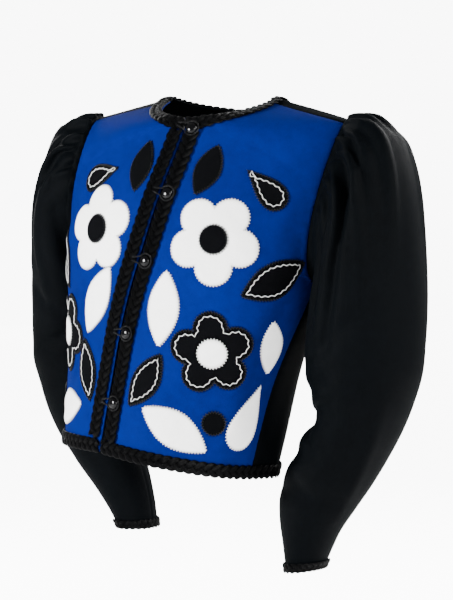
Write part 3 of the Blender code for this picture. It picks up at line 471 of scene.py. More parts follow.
def sleeve_point(side, turns, along):
    """Point of the sleeve's outer face: turn 0 on top, along 0 at the armhole and 1 at the cuff."""
    turns, along = np.broadcast_arrays(np.asarray(turns, float), np.asarray(along, float))
    rows = SLEEVES[side]
    seam, normals = armhole_loop(side, turns[0])
    away = away_from_panel(seam, normals)
    tip = body_point("front", side, np.array([1.0]), np.array([1.0]))[0]
    underarm = body_point("front", side, np.array([1.0]), np.array([UP_ARMHOLE]))[0]
    first = Ring(underarm[0], underarm[2], tip[0], tip[2], 0.0, ARMHOLE_FRONT_BULGE)
    table = np.array((first,) + rows)
    places = np.linspace(0, 1, len(table))
    row = smooth_curve(places, table, along[:, :1])
    inner_x, inner_z, outer_x, outer_z, middle_y, half_depth = np.moveaxis(row, -1, 0)
    mid_x, mid_z = (inner_x + outer_x) / 2, (inner_z + outer_z) / 2
    reach = np.cos(turns)
    lean = (tip[1] - underarm[1]) / 2 * (1 - smooth_step(along / LEAN_END))
    oval = np.stack([mid_x + (outer_x - inner_x) / 2 * reach,
                     middle_y + lean * reach - half_depth * np.sin(turns),
                     mid_z + (outer_z - inner_z) / 2 * reach], axis=-1)
    outward = unit(oval - np.stack(np.broadcast_arrays(mid_x, middle_y, mid_z), axis=-1))
    bulge = np.zeros_like(turns)
    for gather in GATHERS:
        offset = (np.degrees(turns) - gather.angle + 180) % 360 - 180
        ridge = np.cos(np.clip(offset / GATHER_HALF_ANGLE, -1, 1) * math.pi / 2) ** 2
        rise = smooth_step(along / GATHER_START) * (1 - smooth_step(along / gather.length))
        bulge = bulge + gather.depth * ridge * rise
    for crease in CREASES:
        offset = (np.degrees(turns) - crease.angle + 180) % 360 - 180
        middle = crease.along + crease.tilt * offset / 90
        bulge = bulge + crease.depth * np.exp(-((along - middle) / crease.spread_along) ** 2
                                              - (offset / crease.spread_angle) ** 2)
    oval = oval + outward * bulge[..., None]
    rise = smooth_step(along / HEAD_RISE_END)[..., None]
    edge = seam + away * (SEAM_GAP + HEAD_OUT * rise) + normals * HEAD_RISE * rise
    share = smooth_step((along - HEAD_RISE_END / 2) / HEAD_BLEND)[..., None]
    return edge * (1 - share) + oval * share


def tube_normals(points, centres):
    """Normals of a tube's grid of points, from its own rows and columns, away from its middle."""
    around = np.roll(points, -1, axis=1) - np.roll(points, 1, axis=1)
    normals = unit(np.cross(np.gradient(points, axis=0), around))
    return -normals if np.sum(normals * (points - centres)) < 0 else normals


for side in SIDES:
    wrist = sleeve_point(side, np.linspace(0, 2 * math.pi, 8, endpoint=False)[None, :], np.array([[1.0]]))
    print(side, "cuff, middle:", wrist[0].mean(axis=0).round(3).tolist())

# %% [markdown]
# Worn cloth is never as even as its pattern. Soft troughs and ridges are listed one by one, each as a line
# between two places on the cloth with a depth and a breadth, and no two are alike. Panels read them across
# and up, sleeves read them as a turn in degrees and a share of the length.

# %% Soft creases of panels and sleeves
Soft = namedtuple("Soft", "a0 b0 a1 b1 depth breadth")
SOFTS = {}
SOFTS["front", "left"] = (
    Soft(0.93, 0.66, 0.80, 0.30, -0.0030, 0.016),
    Soft(0.86, 0.74, 0.62, 0.60, 0.0022, 0.014),
    Soft(0.70, 0.34, 0.78, 0.05, 0.0026, 0.018),
    Soft(0.40, 0.20, 0.52, 0.06, -0.0018, 0.016),
    Soft(0.97, 0.52, 0.72, 0.47, -0.0020, 0.010),
    Soft(0.22, 0.62, 0.48, 0.54, 0.0012, 0.014),
)
SOFTS["front", "right"] = (
    Soft(0.90, 0.64, 0.84, 0.24, -0.0026, 0.017),
    Soft(0.82, 0.76, 0.58, 0.64, 0.0020, 0.013),
    Soft(0.62, 0.30, 0.58, 0.04, 0.0024, 0.017),
    Soft(0.96, 0.54, 0.76, 0.50, -0.0022, 0.011),
    Soft(0.30, 0.26, 0.36, 0.07, -0.0014, 0.015),
)
SOFTS["back", "left"] = (
    Soft(0.90, 0.62, 0.56, 0.56, -0.0030, 0.014),
    Soft(0.84, 0.48, 0.40, 0.40, -0.0026, 0.013),
    Soft(0.62, 0.34, 0.70, 0.03, 0.0034, 0.020),
    Soft(0.20, 0.66, 0.34, 0.20, -0.0022, 0.022),
)
SOFTS["back", "right"] = (
    Soft(0.92, 0.60, 0.50, 0.52, -0.0028, 0.015),
    Soft(0.86, 0.44, 0.46, 0.37, -0.0030, 0.013),
    Soft(0.52, 0.30, 0.60, 0.04, 0.0030, 0.019),
    Soft(0.74, 0.70, 0.58, 0.26, 0.0024, 0.018),
    Soft(0.10, 0.30, 0.16, 0.05, -0.0020, 0.018),
)
SOFTS["sleeve", "left"] = (
    Soft(17, 0.00, 27, 0.13, -0.0070, 0.0050),
    Soft(20, 0.10, 34, 0.40, 0.0040, 0.011),
    Soft(34, 0.00, 56, 0.17, -0.0095, 0.0056),
    Soft(45, 0.03, 68, 0.24, 0.0046, 0.0070),
    Soft(55, 0.00, 82, 0.27, -0.0130, 0.0072),
    Soft(78, 0.18, 104, 0.50, -0.0078, 0.0095),
    Soft(66, 0.05, 97, 0.30, 0.0050, 0.0080),
    Soft(74, 0.00, 102, 0.18, -0.0064, 0.0056),
    Soft(1, 0.00, 4, 0.16, -0.0056, 0.0060),
    Soft(112, 0.12, 124, 0.42, -0.0048, 0.0090),
    Soft(26, 0.00, 33, 0.10, -0.0048, 0.0034),
    Soft(44, 0.00, 58, 0.12, -0.0058, 0.0036),
    Soft(65, 0.00, 80, 0.13, -0.0062, 0.0036),
    Soft(87, 0.00, 101, 0.11, -0.0054, 0.0036),
    Soft(-35, 0.00, -44, 0.12, -0.0054, 0.0036),
    Soft(-70, 0.00, -82, 0.10, -0.0046, 0.0036),
    Soft(134, 0.53, 88, 0.59, -0.0036, 0.011),
    Soft(136, 0.61, 74, 0.55, 0.0034, 0.012),
    Soft(172, 0.65, 96, 0.73, -0.0050, 0.009),
    Soft(160, 0.64, 90, 0.60, -0.0036, 0.008),
    Soft(128, 0.78, 66, 0.84, -0.0028, 0.010),
    Soft(40, 0.60, 24, 0.86, 0.0030, 0.014),
    Soft(-18, 0.00, -29, 0.16, -0.0080, 0.0058),
    Soft(-24, 0.12, -38, 0.50, 0.0038, 0.012),
    Soft(-53, 0.00, -76, 0.22, -0.0105, 0.0070),
    Soft(-62, 0.10, -84, 0.42, -0.0040, 0.011),
    Soft(-108, 0.22, -124, 0.50, 0.0032, 0.013),
    Soft(-150, 0.56, -90, 0.64, -0.0046, 0.011),
    Soft(-160, 0.70, -100, 0.78, -0.0034, 0.010),
)
SOFTS["sleeve", "right"] = (
    Soft(18, 0.00, 25, 0.14, -0.0072, 0.0052),
    Soft(16, 0.10, 28, 0.44, 0.0038, 0.011),
    Soft(36, 0.00, 52, 0.22, -0.0110, 0.0066),
    Soft(54, 0.00, 76, 0.18, -0.0088, 0.0058),
    Soft(48, 0.09, 60, 0.38, -0.0040, 0.010),
    Soft(84, 0.14, 98, 0.50, 0.0036, 0.012),
    Soft(27, 0.00, 36, 0.11, -0.0050, 0.0036),
    Soft(45, 0.00, 56, 0.10, -0.0056, 0.0036),
    Soft(68, 0.00, 82, 0.12, -0.0058, 0.0036),
    Soft(-36, 0.00, -46, 0.13, -0.0052, 0.0036),
    Soft(150, 0.50, 88, 0.57, -0.0050, 0.011),
    Soft(172, 0.62, 106, 0.66, 0.0038, 0.012),
    Soft(164, 0.72, 92, 0.80, -0.0040, 0.010),
    Soft(-18, 0.00, -31, 0.26, -0.0090, 0.0070),
    Soft(-54, 0.00, -72, 0.19, -0.0094, 0.0062),
    Soft(-46, 0.10, -58, 0.48, 0.0040, 0.012),
    Soft(-96, 0.18, -112, 0.46, -0.0034, 0.012),
    Soft(-156, 0.54, -84, 0.60, -0.0048, 0.011),
    Soft(-140, 0.74, -76, 0.68, 0.0030, 0.011),
    Soft(-120, 0.86, -60, 0.82, -0.0024, 0.009),
)
PANEL_SPAN = (0.21, 0.50)
SLEEVE_SPAN = (0.075 * math.pi / 180, 0.62)
SOFT_END, SOFT_RUN = 0.08, 0.84


def soft_height(softs, a, b, span, period=None):
    """Height of soft creases at places (a, b) of one piece, measured over a flat cloth of that span."""
    height = np.zeros(np.broadcast(a, b).shape)
    for soft in softs:
        shift = a - soft.a0
        if period:
            shift = (shift + period / 2) % period - period / 2
        run_a, run_b = (soft.a1 - soft.a0) * span[0], (soft.b1 - soft.b0) * span[1]
        da, db = shift * span[0], (b - soft.b0) * span[1]
        share = (da * run_a + db * run_b) / (run_a ** 2 + run_b ** 2)
        on_line = np.clip(share, 0, 1)
        off = np.hypot(da - on_line * run_a, db - on_line * run_b)
        along = np.sin(math.pi * np.clip(share * SOFT_RUN + SOFT_END, 0, 1))
        height = height + soft.depth * along * np.exp(-(off / soft.breadth) ** 2)
    return height


print("soft creases:", {" ".join(place): len(softs) for place, softs in SOFTS.items()})

# %% [markdown]
# A seam draws the cloth in: the edge rolls under in the last few millimetres, and the cloth beside it
# puckers a little where the thread is tight. Both fade out within a finger's breadth.

# %% Fine surface of the panels
SEAM_ROLL = 0.0006
SEAM_ROLL_WIDTH = 0.0035
PUCKER = 0.0004
PUCKER_WIDTH = 0.012
PUCKER_PITCH = 0.0105
PUCKER_DRIFT, PUCKER_DRIFT_RATE = 1.7, 61.0
SEAM_FADE = 0.02
MIDDLE_FADE, NECK_FADE = 0.06, 0.2
SHOULDER_SCALE = 0.7


def seam_height(distance, along):
    """Roll and puckers beside a seam: distance from it and place along it, in metres."""
    wave = np.sin(along / PUCKER_PITCH * 2 * math.pi + PUCKER_DRIFT * np.sin(along * PUCKER_DRIFT_RATE))
    return (-SEAM_ROLL * np.exp(-(distance / SEAM_ROLL_WIDTH) ** 2)
            - PUCKER * (0.5 + 0.5 * wave) * np.exp(-(distance / PUCKER_WIDTH) ** 2))


def fine_panel(panel, side, across, up):
    """Outer points and normals of a panel with its soft creases and seams."""
    points = over_ridge(body_point, panel, side, across, up)
    normals = over_ridge(body_normal, panel, side, across, up)
    from_side = (1 - across) * PANEL_SPAN[0]
    end = seam_up(across) if panel == "front" else 2 - seam_up(across)
    from_shoulder = (end - up) * PANEL_SPAN[1] * SHOULDER_SCALE
    up_neck = UP_NECK_FRONT if panel == "front" else UP_NECK_BACK
    fade = smooth_step(from_side / SEAM_FADE) * smooth_step(from_shoulder / SEAM_FADE)
    fade = fade * smooth_step(across / MIDDLE_FADE)
    fade = fade * np.where(up > up_neck, smooth_step(across / NECK_FADE), 1.0)
    height = fade * soft_height(SOFTS[panel, side], across, up, PANEL_SPAN)
    height = height + seam_height(from_side, up * PANEL_SPAN[1])
    height = height + seam_height(from_shoulder, across * PANEL_SPAN[0])
    return points + normals * height[..., None], normals


middle_height = fine_panel("front", "left", np.array([[0.5]]), np.array([[0.5]]))[0][0, 0, 2]
print("middle of the left front, height:", round(float(middle_height), 3))

# %% [markdown]
# A sleeve head is longer than the armhole it is sewn to, so it stands up in small tucks that run out over
# the upper arm. A wave of uneven pitch draws them, because a gathering thread never spaces them evenly. The
# under seam is a shallow groove down the hidden side.

# %% Fine surface of the sleeves
SLEEVE_COLUMNS = 196
SLEEVE_ROWS = 180
ROW_CROWDING, ROW_POWER = 0.20, 1.8

# Where the soft creases set in below the head and fade out above the cuff
SOFT_START, SOFT_FADE = 0.008, 0.045
CUFF_FADE = 0.10

# The under seam: depth, breadth in degrees, and where it sets in
UNDERARM_SEAM = 0.0010
UNDERARM_SEAM_WIDTH = 4.0
UNDERARM_SEAM_START, UNDERARM_SEAM_FADE = 0.02, 0.05

# The tucks of the head: height, number, uneven pitch, and how far round and down they run
HEAD_PUCKER = 0.0014
TUCKS, TUCK_DRIFT, TUCK_DRIFTS = 27, 2.0, 5
TUCK_SIDE, TUCK_SIDE_FADE = 0.35, 0.5
TUCK_RISE, TUCK_END, TUCK_END_FADE = 0.03, 0.16, 0.12


def fine_sleeve(side):
    """Outer points and normals of a sleeve, with creases, an underarm seam and small tucks at its head."""
    turns = np.linspace(0, 2 * math.pi, SLEEVE_COLUMNS, endpoint=False)
    spacing = np.linspace(0, 1, SLEEVE_ROWS)
    along = ((1 - ROW_CROWDING) * spacing + ROW_CROWDING * spacing ** ROW_POWER)[:, None]
    points = sleeve_point(side, turns[None, :], along)
    centres = points.mean(axis=1, keepdims=True)
    normals = tube_normals(points, centres)
    degrees = np.degrees(turns)[None, :]
    height = soft_height(SOFTS["sleeve", side], degrees, along, SLEEVE_SPAN, 360.0)
    height = height * smooth_step((along - SOFT_START) / SOFT_FADE) * smooth_step((1 - along) / CUFF_FADE)
    groove = np.exp(-((degrees - 180.0) / UNDERARM_SEAM_WIDTH) ** 2)
    height = height - UNDERARM_SEAM * groove * smooth_step(
        (along - UNDERARM_SEAM_START) / UNDERARM_SEAM_FADE)
    tucks = np.sin(np.radians(degrees) * TUCKS + TUCK_DRIFT * np.sin(np.radians(degrees) * TUCK_DRIFTS))
    upper = smooth_step((np.cos(turns)[None, :] + TUCK_SIDE) / TUCK_SIDE_FADE)
    height = height + HEAD_PUCKER * tucks * upper * smooth_step(along / TUCK_RISE) * smooth_step(
        (TUCK_END - along) / TUCK_END_FADE)
    seam_normals = armhole_loop(side, turns)[1]
    sink = SEAM_ROLL * np.exp(-(along * SLEEVE_SPAN[1] / SEAM_ROLL_WIDTH) ** 2)
    points = points + normals * height[..., None] - seam_normals * sink[..., None]
    normals = tube_normals(points, centres)
    normals[0] = seam_normals
    return points, normals


print("points on a sleeve:", SLEEVE_COLUMNS * SLEEVE_ROWS, "tucks round it:", TUCKS)

# %% [markdown]
# Cloth has a thickness, and its edge is round, not a sharp cut. One helper makes every wall: it takes the
# outer points, copies them inwards for the inner face, and closes each border with a rounded rim.

# %% Walls with rounded rims
BODY_WALL = 0.0016
SLEEVE_WALL = 0.0014
RIM_SHARE = 0.34


def border_directions(points, faces):
    """Border edges of a sheet, and at each border point the direction out of the sheet."""
    uses = {}
    for face in faces:
        for a, b in zip(face, face[1:] + face[:1]):
            uses.setdefault((min(a, b), max(a, b)), []).append((a, b, face))
    borders, outwards = [], {}
    for found in uses.values():
        if len(found) == 1:
            a, b, face = found[0]
            edge = points[b] - points[a]
            inwards = np.mean([points[i] for i in face], axis=0) - (points[a] + points[b]) / 2
            inwards = inwards - edge * np.dot(inwards, edge) / max(np.dot(edge, edge), 1e-12)
            away = -inwards / max(np.linalg.norm(inwards), 1e-9)
            borders.append((a, b))
            outwards[a] = outwards.get(a, 0) + away
            outwards[b] = outwards.get(b, 0) + away
    return borders, {i: v / max(np.linalg.norm(v), 1e-9) for i, v in outwards.items()}


def cloth_wall(name, points, normals, faces, thickness, material, uvs=None):
    """Closed wall below outer points, with a rounded rim. uvs holds a (u, v) for each corner of each face."""
    points, normals = points.reshape(-1, 3), normals.reshape(-1, 3)
    borders, outwards = border_directions(points, faces)
    outer, inner = points.copy(), points - normals * thickness
    rims = {}
    for i, away in outwards.items():
        outer[i] = outer[i] - away * thickness * RIM_SHARE
        inner[i] = inner[i] - away * thickness * RIM_SHARE
        rims[i] = len(rims)
    rim_points = [points[i] - normals[i] * thickness / 2 for i in rims]
    count = len(points)
    verts = np.concatenate([outer, inner, np.array(rim_points).reshape(-1, 3)])
    polygons = [tuple(face) for face in faces] + [tuple(count + i for i in reversed(face)) for face in faces]
    corners = [list(c) for c in uvs] + [list(reversed(c)) for c in uvs] if uvs else None
    corner_of = {}
    if uvs:
        for face, corner in zip(faces, uvs):
            corner_of.update({i: uv for i, uv in zip(face, corner)})
    for a, b in borders:
        ra, rb = 2 * count + rims[a], 2 * count + rims[b]
        polygons += [(b, a, ra, rb), (rb, ra, count + a, count + b)]
        if uvs:
            corners += [[corner_of[b], corner_of[a], corner_of[a], corner_of[b]]] * 2
    mesh = bpy.data.meshes.new(name)
    mesh.from_pydata(verts.tolist(), [], polygons)
    if uvs:
        layer = mesh.uv_layers.new(name="cloth")
        layer.uv.foreach_set("vector", np.array([uv for c in corners for uv in c], np.float32).ravel())
    mesh.shade_smooth()
    mesh.materials.append(material)
    if signed_volume(mesh) < 0:
        mesh.flip_normals()
    return add_object(name, mesh)


def signed_volume(mesh):
    """Volume inside a closed mesh: below zero when its faces point inwards."""
    mesh.calc_loop_triangles()
    corners = np.array([t.vertices for t in mesh.loop_triangles])
    places = np.array([v.co for v in mesh.vertices])
    a, b, c = places[corners[:, 0]], places[corners[:, 1]], places[corners[:, 2]]
    return float(np.sum(a * np.cross(b, c)) / 6)


def grid_faces(rows, columns, wrap=False):
    """Quads of a grid of points, as index tuples."""
    last = columns if wrap else columns - 1
    return [(r * columns + c, r * columns + (c + 1) % columns,
             (r + 1) * columns + (c + 1) % columns, (r + 1) * columns + c)
            for r in range(rows - 1) for c in range(last)]


def cloth_lengths(points, wrap):
    """Distance across and up a grid of points, in metres, for an even weave."""
    following = np.roll(points, -1, axis=1) if wrap else points[:, 1:]
    steps = np.linalg.norm(following - points[:, :following.shape[1]], axis=2).mean(axis=0)
    u = np.concatenate([[0.0], np.cumsum(steps)])
    rises = np.linalg.norm(np.diff(points, axis=0), axis=2).mean(axis=1)
    return u, np.concatenate([[0.0], np.cumsum(rises)])


def grid_uvs(points, wrap=False):
    """Corner (u, v) in metres for each quad of grid_faces."""
    rows, columns = points.shape[:2]
    u, v = cloth_lengths(points, wrap)
    return [((u[c], v[r]), (u[c + 1], v[r]), (u[c + 1], v[r + 1]), (u[c], v[r + 1]))
            for r in range(rows - 1) for c in range(columns if wrap else columns - 1)]


print("cloth thickness: body", BODY_WALL, "sleeves", SLEEVE_WALL)

# %% [markdown]
# Wool cloth, crepe and felt are all short fibres in a close mat, and differ in scale and depth. One shader
# group makes that mat from noise at three sizes: fibres, small clouds and slow fading. It gives a tone for
# the colour and a height for the bump, and each material sets its own values.

# %% Shader groups for cloth
HAIR_TONE, CLOUD_TONE, FADE_TONE = 0.35, 0.30, 0.35
HAIR_HEIGHT, CLOUD_HEIGHT = 0.75, 0.25


def new_group(name, inputs, outputs):
    """Shader group with its inputs and outputs. An input without a default takes a vector."""
    group = bpy.data.node_groups.new(name, "ShaderNodeTree")
    for label, value in inputs.items():
        if value is None:
            group.interface.new_socket(label, in_out="INPUT", socket_type="NodeSocketVector")
        else:
            socket = group.interface.new_socket(label, in_out="INPUT", socket_type="NodeSocketFloat")
            socket.default_value = value
    for label in outputs:
        group.interface.new_socket(label, in_out="OUTPUT", socket_type="NodeSocketFloat")
    return group, group.nodes.new("NodeGroupInput"), group.nodes.new("NodeGroupOutput")


def math_node(tree, operation, a, b=0.0, c=None):
    """Math node whose inputs are numbers or sockets. Returns its output."""
    node = tree.nodes.new("ShaderNodeMath")
    node.operation = operation
    for socket, value in zip(node.inputs, (a, b) if c is None else (a, b, c)):
        if isinstance(value, (int, float)):
            socket.default_value = value
        else:
            tree.links.new(value, socket)
    return node.outputs[0]


def noise_node(tree, vector, scale, detail, roughness=0.5):
    node = tree.nodes.new("ShaderNodeTexNoise")
    node.inputs["Detail"].default_value = detail
    node.inputs["Roughness"].default_value = roughness
    tree.links.new(vector, node.inputs["Vector"])
    if isinstance(scale, (int, float)):
        node.inputs["Scale"].default_value = scale
    else:
        tree.links.new(scale, node.inputs["Scale"])
    return node.outputs["Fac"]


def fibre_mat_group():
    """Tone and height of matted fibres: short hairs, small clouds and slow fading."""
    group, given, result = new_group("fibre_mat", {"Vector": None, "Fibre scale": 900.0, "Cloud scale": 90.0,
                                                   "Fade scale": 7.0}, ("Tone", "Height"))
    hairs = noise_node(group, given.outputs["Vector"], given.outputs["Fibre scale"], 3.0, 0.65)
    clouds = noise_node(group, given.outputs["Vector"], given.outputs["Cloud scale"], 4.0, 0.6)
    fading = noise_node(group, given.outputs["Vector"], given.outputs["Fade scale"], 2.0)
    tone = math_node(group, "ADD", math_node(group, "MULTIPLY", hairs, HAIR_TONE),
                     math_node(group, "ADD", math_node(group, "MULTIPLY", clouds, CLOUD_TONE),
                               math_node(group, "MULTIPLY", fading, FADE_TONE)))
    height = math_node(group, "ADD", math_node(group, "MULTIPLY", hairs, HAIR_HEIGHT),
                       math_node(group, "MULTIPLY", clouds, CLOUD_HEIGHT))
    group.links.new(tone, result.inputs["Tone"])
    group.links.new(height, result.inputs["Height"])
    return group


def twill_group():
    """Height of a diagonal weave on the cloth's own map, in metres: fine ribs crossed by shorter ones."""
    group, given, result = new_group("twill_weave", {"Map": None, "Rib spacing": 0.0011}, ("Height",))
    split = group.nodes.new("ShaderNodeSeparateXYZ")
    group.links.new(given.outputs["Map"], split.inputs[0])
    turn = math_node(group, "DIVIDE", 2 * math.pi, given.outputs["Rib spacing"])
    rise = math_node(group, "MULTIPLY", split.outputs["Y"], 0.8)
    diagonal = math_node(group, "ADD", split.outputs["X"], rise)
    ribs = math_node(group, "SINE", math_node(group, "MULTIPLY", diagonal, turn))
    crossing = math_node(group, "SUBTRACT", math_node(group, "MULTIPLY", split.outputs["X"], 0.7),
                         split.outputs["Y"])
    floats = math_node(group, "SINE", math_node(group, "MULTIPLY", crossing, turn))
    group.links.new(math_node(group, "MULTIPLY_ADD", ribs, 0.6, math_node(group, "MULTIPLY", floats, 0.4)),
                    result.inputs["Height"])
    return group


def strand_group():
    """Height and tone of wrapped threads along a cord, from its distance along and its turn round."""
    group, given, result = new_group("wrapped_threads", {"Along": 0.0, "Around": 0.0, "Thread pitch": 0.0009,
                                                         "Slant": 2.0}, ("Height", "Tone"))
    turns = math_node(group, "DIVIDE", given.outputs["Along"], given.outputs["Thread pitch"])
    phase = math_node(group, "ADD", turns, math_node(group, "MULTIPLY", given.outputs["Around"],
                                                     given.outputs["Slant"]))
    wave = math_node(group, "SINE", math_node(group, "MULTIPLY", phase, 2 * math.pi))
    group.links.new(math_node(group, "ABSOLUTE", wave), result.inputs["Height"])
    group.links.new(math_node(group, "MULTIPLY_ADD", wave, 0.5, 0.5), result.inputs["Tone"])
    return group


FIBRE_MAT, TWILL, WRAPPED = fibre_mat_group(), twill_group(), strand_group()
print("shader groups:", FIBRE_MAT.name, TWILL.name, WRAPPED.name)

# %% [markdown]
# Each finish is a small table row: the colour at its darkest and lightest, the roughness, the sheen of its
# nap and how deep its fibres stand. Wool and crepe also carry a weave, which follows the cloth's own map.

# %% Materials of cloth and felt
Cloth = namedtuple("Cloth", "dark light roughness specular sheen tint fibre_scale bump weave")
CLOTHS = {
    "blue_wool": Cloth((0.0001, 0.0031, 0.051), (0.0003, 0.0074, 0.100), 0.78, 0.025, 0.012,
                       (0.10, 0.30, 1.0), 760.0, 0.00030, 0.0013),
    "black_crepe": Cloth((0.0002, 0.0004, 0.0006), (0.0010, 0.0015, 0.0021), 0.62, 0.018, 0.0018,
                         (0.6, 0.85, 1.0), 640.0, 0.00026, 0.0010),
    "white_felt": Cloth((0.76, 0.76, 0.75), (0.95, 0.95, 0.94), 0.88, 0.20, 0.100,
                        (1.0, 1.0, 1.0), 820.0, 0.00040, 0.0),
    "black_felt": Cloth((0.0004, 0.0005, 0.0007), (0.0018, 0.0019, 0.0024), 0.90, 0.02, 0.003,
                        (0.8, 0.9, 1.0), 820.0, 0.00040, 0.0),
}
TONE_LOW, TONE_HIGH = 0.30, 0.70
WEAVE_HEIGHT = 0.30
ROUGHNESS_SPREAD = 0.16
NAP_ROUGHNESS = 0.45


def new_material(name):
    material = bpy.data.materials.new(name)
    material.use_nodes = True
    tree = material.node_tree
    return material, tree, tree.nodes["Principled BSDF"]


def add_bump(tree, shader, height, distance):
    bump = tree.nodes.new("ShaderNodeBump")
    bump.inputs["Distance"].default_value = distance
    tree.links.new(height, bump.inputs["Height"])
    tree.links.new(bump.outputs["Normal"], shader.inputs["Normal"])


def cloth_material(name):
    cloth = CLOTHS[name]
    material, tree, shader = new_material(name)
    coordinates = tree.nodes.new("ShaderNodeTexCoord")
    mat = tree.nodes.new("ShaderNodeGroup")
    mat.node_tree = FIBRE_MAT
    mat.inputs["Fibre scale"].default_value = cloth.fibre_scale
    tree.links.new(coordinates.outputs["Object"], mat.inputs["Vector"])
    ramp = tree.nodes.new("ShaderNodeValToRGB")
    low, high = ramp.color_ramp.elements
    low.position, high.position = TONE_LOW, TONE_HIGH
    low.color, high.color = (*cloth.dark, 1), (*cloth.light, 1)
    tree.links.new(mat.outputs["Tone"], ramp.inputs["Fac"])
    tree.links.new(ramp.outputs["Color"], shader.inputs["Base Color"])
    height = mat.outputs["Height"]
    if cloth.weave:
        weave = tree.nodes.new("ShaderNodeGroup")
        weave.node_tree = TWILL
        weave.inputs["Rib spacing"].default_value = cloth.weave
        tree.links.new(coordinates.outputs["UV"], weave.inputs["Map"])
        height = math_node(tree, "MULTIPLY_ADD", weave.outputs["Height"], WEAVE_HEIGHT, height)
    rough = math_node(tree, "MULTIPLY_ADD", mat.outputs["Tone"], ROUGHNESS_SPREAD,
                      cloth.roughness - ROUGHNESS_SPREAD / 2)
    tree.links.new(rough, shader.inputs["Roughness"])
    shader.inputs["Sheen Weight"].default_value = cloth.sheen
    shader.inputs["Sheen Roughness"].default_value = NAP_ROUGHNESS
    shader.inputs["Sheen Tint"].default_value = (*cloth.tint, 1)
    shader.inputs["Specular IOR Level"].default_value = cloth.specular
    add_bump(tree, shader, height, cloth.bump)
    return material


print("cloths:", ", ".join(CLOTHS))

# %% [markdown]
# Threads and cords are wound yarn. Their bump and tone follow two attributes that each swept cord carries:
# the distance along it and the share of the way round.

# %% Materials of thread
Thread = namedtuple("Thread", "dark light roughness specular pitch slant bump")
THREADS = {
    "braid_yarn": Thread((0.0001, 0.0001, 0.0002), (0.0009, 0.0010, 0.0013), 0.40, 0.05, 0.0016, 3.0,
                         0.0007),
    "satin_cord": Thread((0.0005, 0.0005, 0.0007), (0.0026, 0.0027, 0.0033), 0.34, 0.20, 0.0008, 2.0,
                         0.0002),
    "white_thread": Thread((0.70, 0.70, 0.69), (0.93, 0.93, 0.92), 0.50, 0.30, 0.0006, 1.0, 0.0001),
    "black_thread": Thread((0.0005, 0.0005, 0.0007), (0.0034, 0.0035, 0.0042), 0.36, 0.16, 0.0006, 1.0,
                           0.0001),
}
THREAD_GLOSS = 0.12


def thread_material(name):
    thread = THREADS[name]
    material, tree, shader = new_material(name)
    wraps = tree.nodes.new("ShaderNodeGroup")
    wraps.node_tree = WRAPPED
    wraps.inputs["Thread pitch"].default_value = thread.pitch
    wraps.inputs["Slant"].default_value = thread.slant
    for label, attribute in (("Along", "along"), ("Around", "around")):
        reader = tree.nodes.new("ShaderNodeAttribute")
        reader.attribute_name = attribute
        tree.links.new(reader.outputs["Fac"], wraps.inputs[label])
    ramp = tree.nodes.new("ShaderNodeValToRGB")
    ramp.color_ramp.elements[0].color = (*thread.dark, 1)
    ramp.color_ramp.elements[1].color = (*thread.light, 1)
    tree.links.new(wraps.outputs["Tone"], ramp.inputs["Fac"])
    tree.links.new(ramp.outputs["Color"], shader.inputs["Base Color"])
    rough = math_node(tree, "MULTIPLY_ADD", wraps.outputs["Tone"], -THREAD_GLOSS,
                      thread.roughness + THREAD_GLOSS / 2)
    tree.links.new(rough, shader.inputs["Roughness"])
    shader.inputs["Specular IOR Level"].default_value = thread.specular
    add_bump(tree, shader, wraps.outputs["Height"], thread.bump)
    return material


print("threads:", ", ".join(THREADS))

# %% [markdown]
# The buttons are the one hard, glossy thing here. Faint clouds and scuffs keep the polish from looking new.

# %% Material of the buttons, and the list of all
def button_material():
    """Polished black resin: a smooth clear face over faint clouds and hairline scuffs."""
    material, tree, shader = new_material("black_button")
    coordinates = tree.nodes.new("ShaderNodeTexCoord")
    clouds = noise_node(tree, coordinates.outputs["Object"], 260.0, 3.0)
    scuffs = noise_node(tree, coordinates.outputs["Object"], 2400.0, 2.0)
    ramp = tree.nodes.new("ShaderNodeValToRGB")
    ramp.color_ramp.elements[0].color = (0.0004, 0.0004, 0.0006, 1)
    ramp.color_ramp.elements[1].color = (0.0014, 0.0014, 0.0018, 1)
    tree.links.new(clouds, ramp.inputs["Fac"])
    tree.links.new(ramp.outputs["Color"], shader.inputs["Base Color"])
    tree.links.new(math_node(tree, "MULTIPLY_ADD", scuffs, 0.10, 0.06), shader.inputs["Roughness"])
    shader.inputs["Specular IOR Level"].default_value = 0.16
    shader.inputs["Coat Weight"].default_value = 0.06
    shader.inputs["Coat Roughness"].default_value = 0.05
    add_bump(tree, shader, scuffs, 0.00002)
    return material


LOOKS = {name: cloth_material(name) for name in CLOTHS}
LOOKS.update({name: thread_material(name) for name in THREADS})
LOOKS["black_button"] = button_material()
print("materials:", ", ".join(sorted(LOOKS)))

# %% [markdown]
# A piece that is done rides on the jacket's one body and takes the place of its solid.


def settle(piece, look, *nodes):
    """The piece rides on the jacket and replaces its solids. The look it is given is not used."""
    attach(piece, "root")
    if nodes:
        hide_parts(*nodes)
    piece.data.calc_loop_triangles()
    print(f"{piece.name}: {len(piece.data.loop_triangles)} triangles")
    return piece


# %% [markdown]
# A front is one piece of wool, cut to the neckline, the armhole and the side seam. Its grid is closest
# together at the seams, where the cloth rolls, and a little wider in the middle.

# %% The two blue fronts
PANEL_COLUMNS = 76
PANEL_ROWS = 150
SEAM_CROWDING = 0.54


def seam_spaced(count):
    """Shares from 0 to 1, drawn closer together at both ends."""
    share = np.linspace(0, 1, count)
    return share - SEAM_CROWDING * np.sin(2 * math.pi * share) / (2 * math.pi)


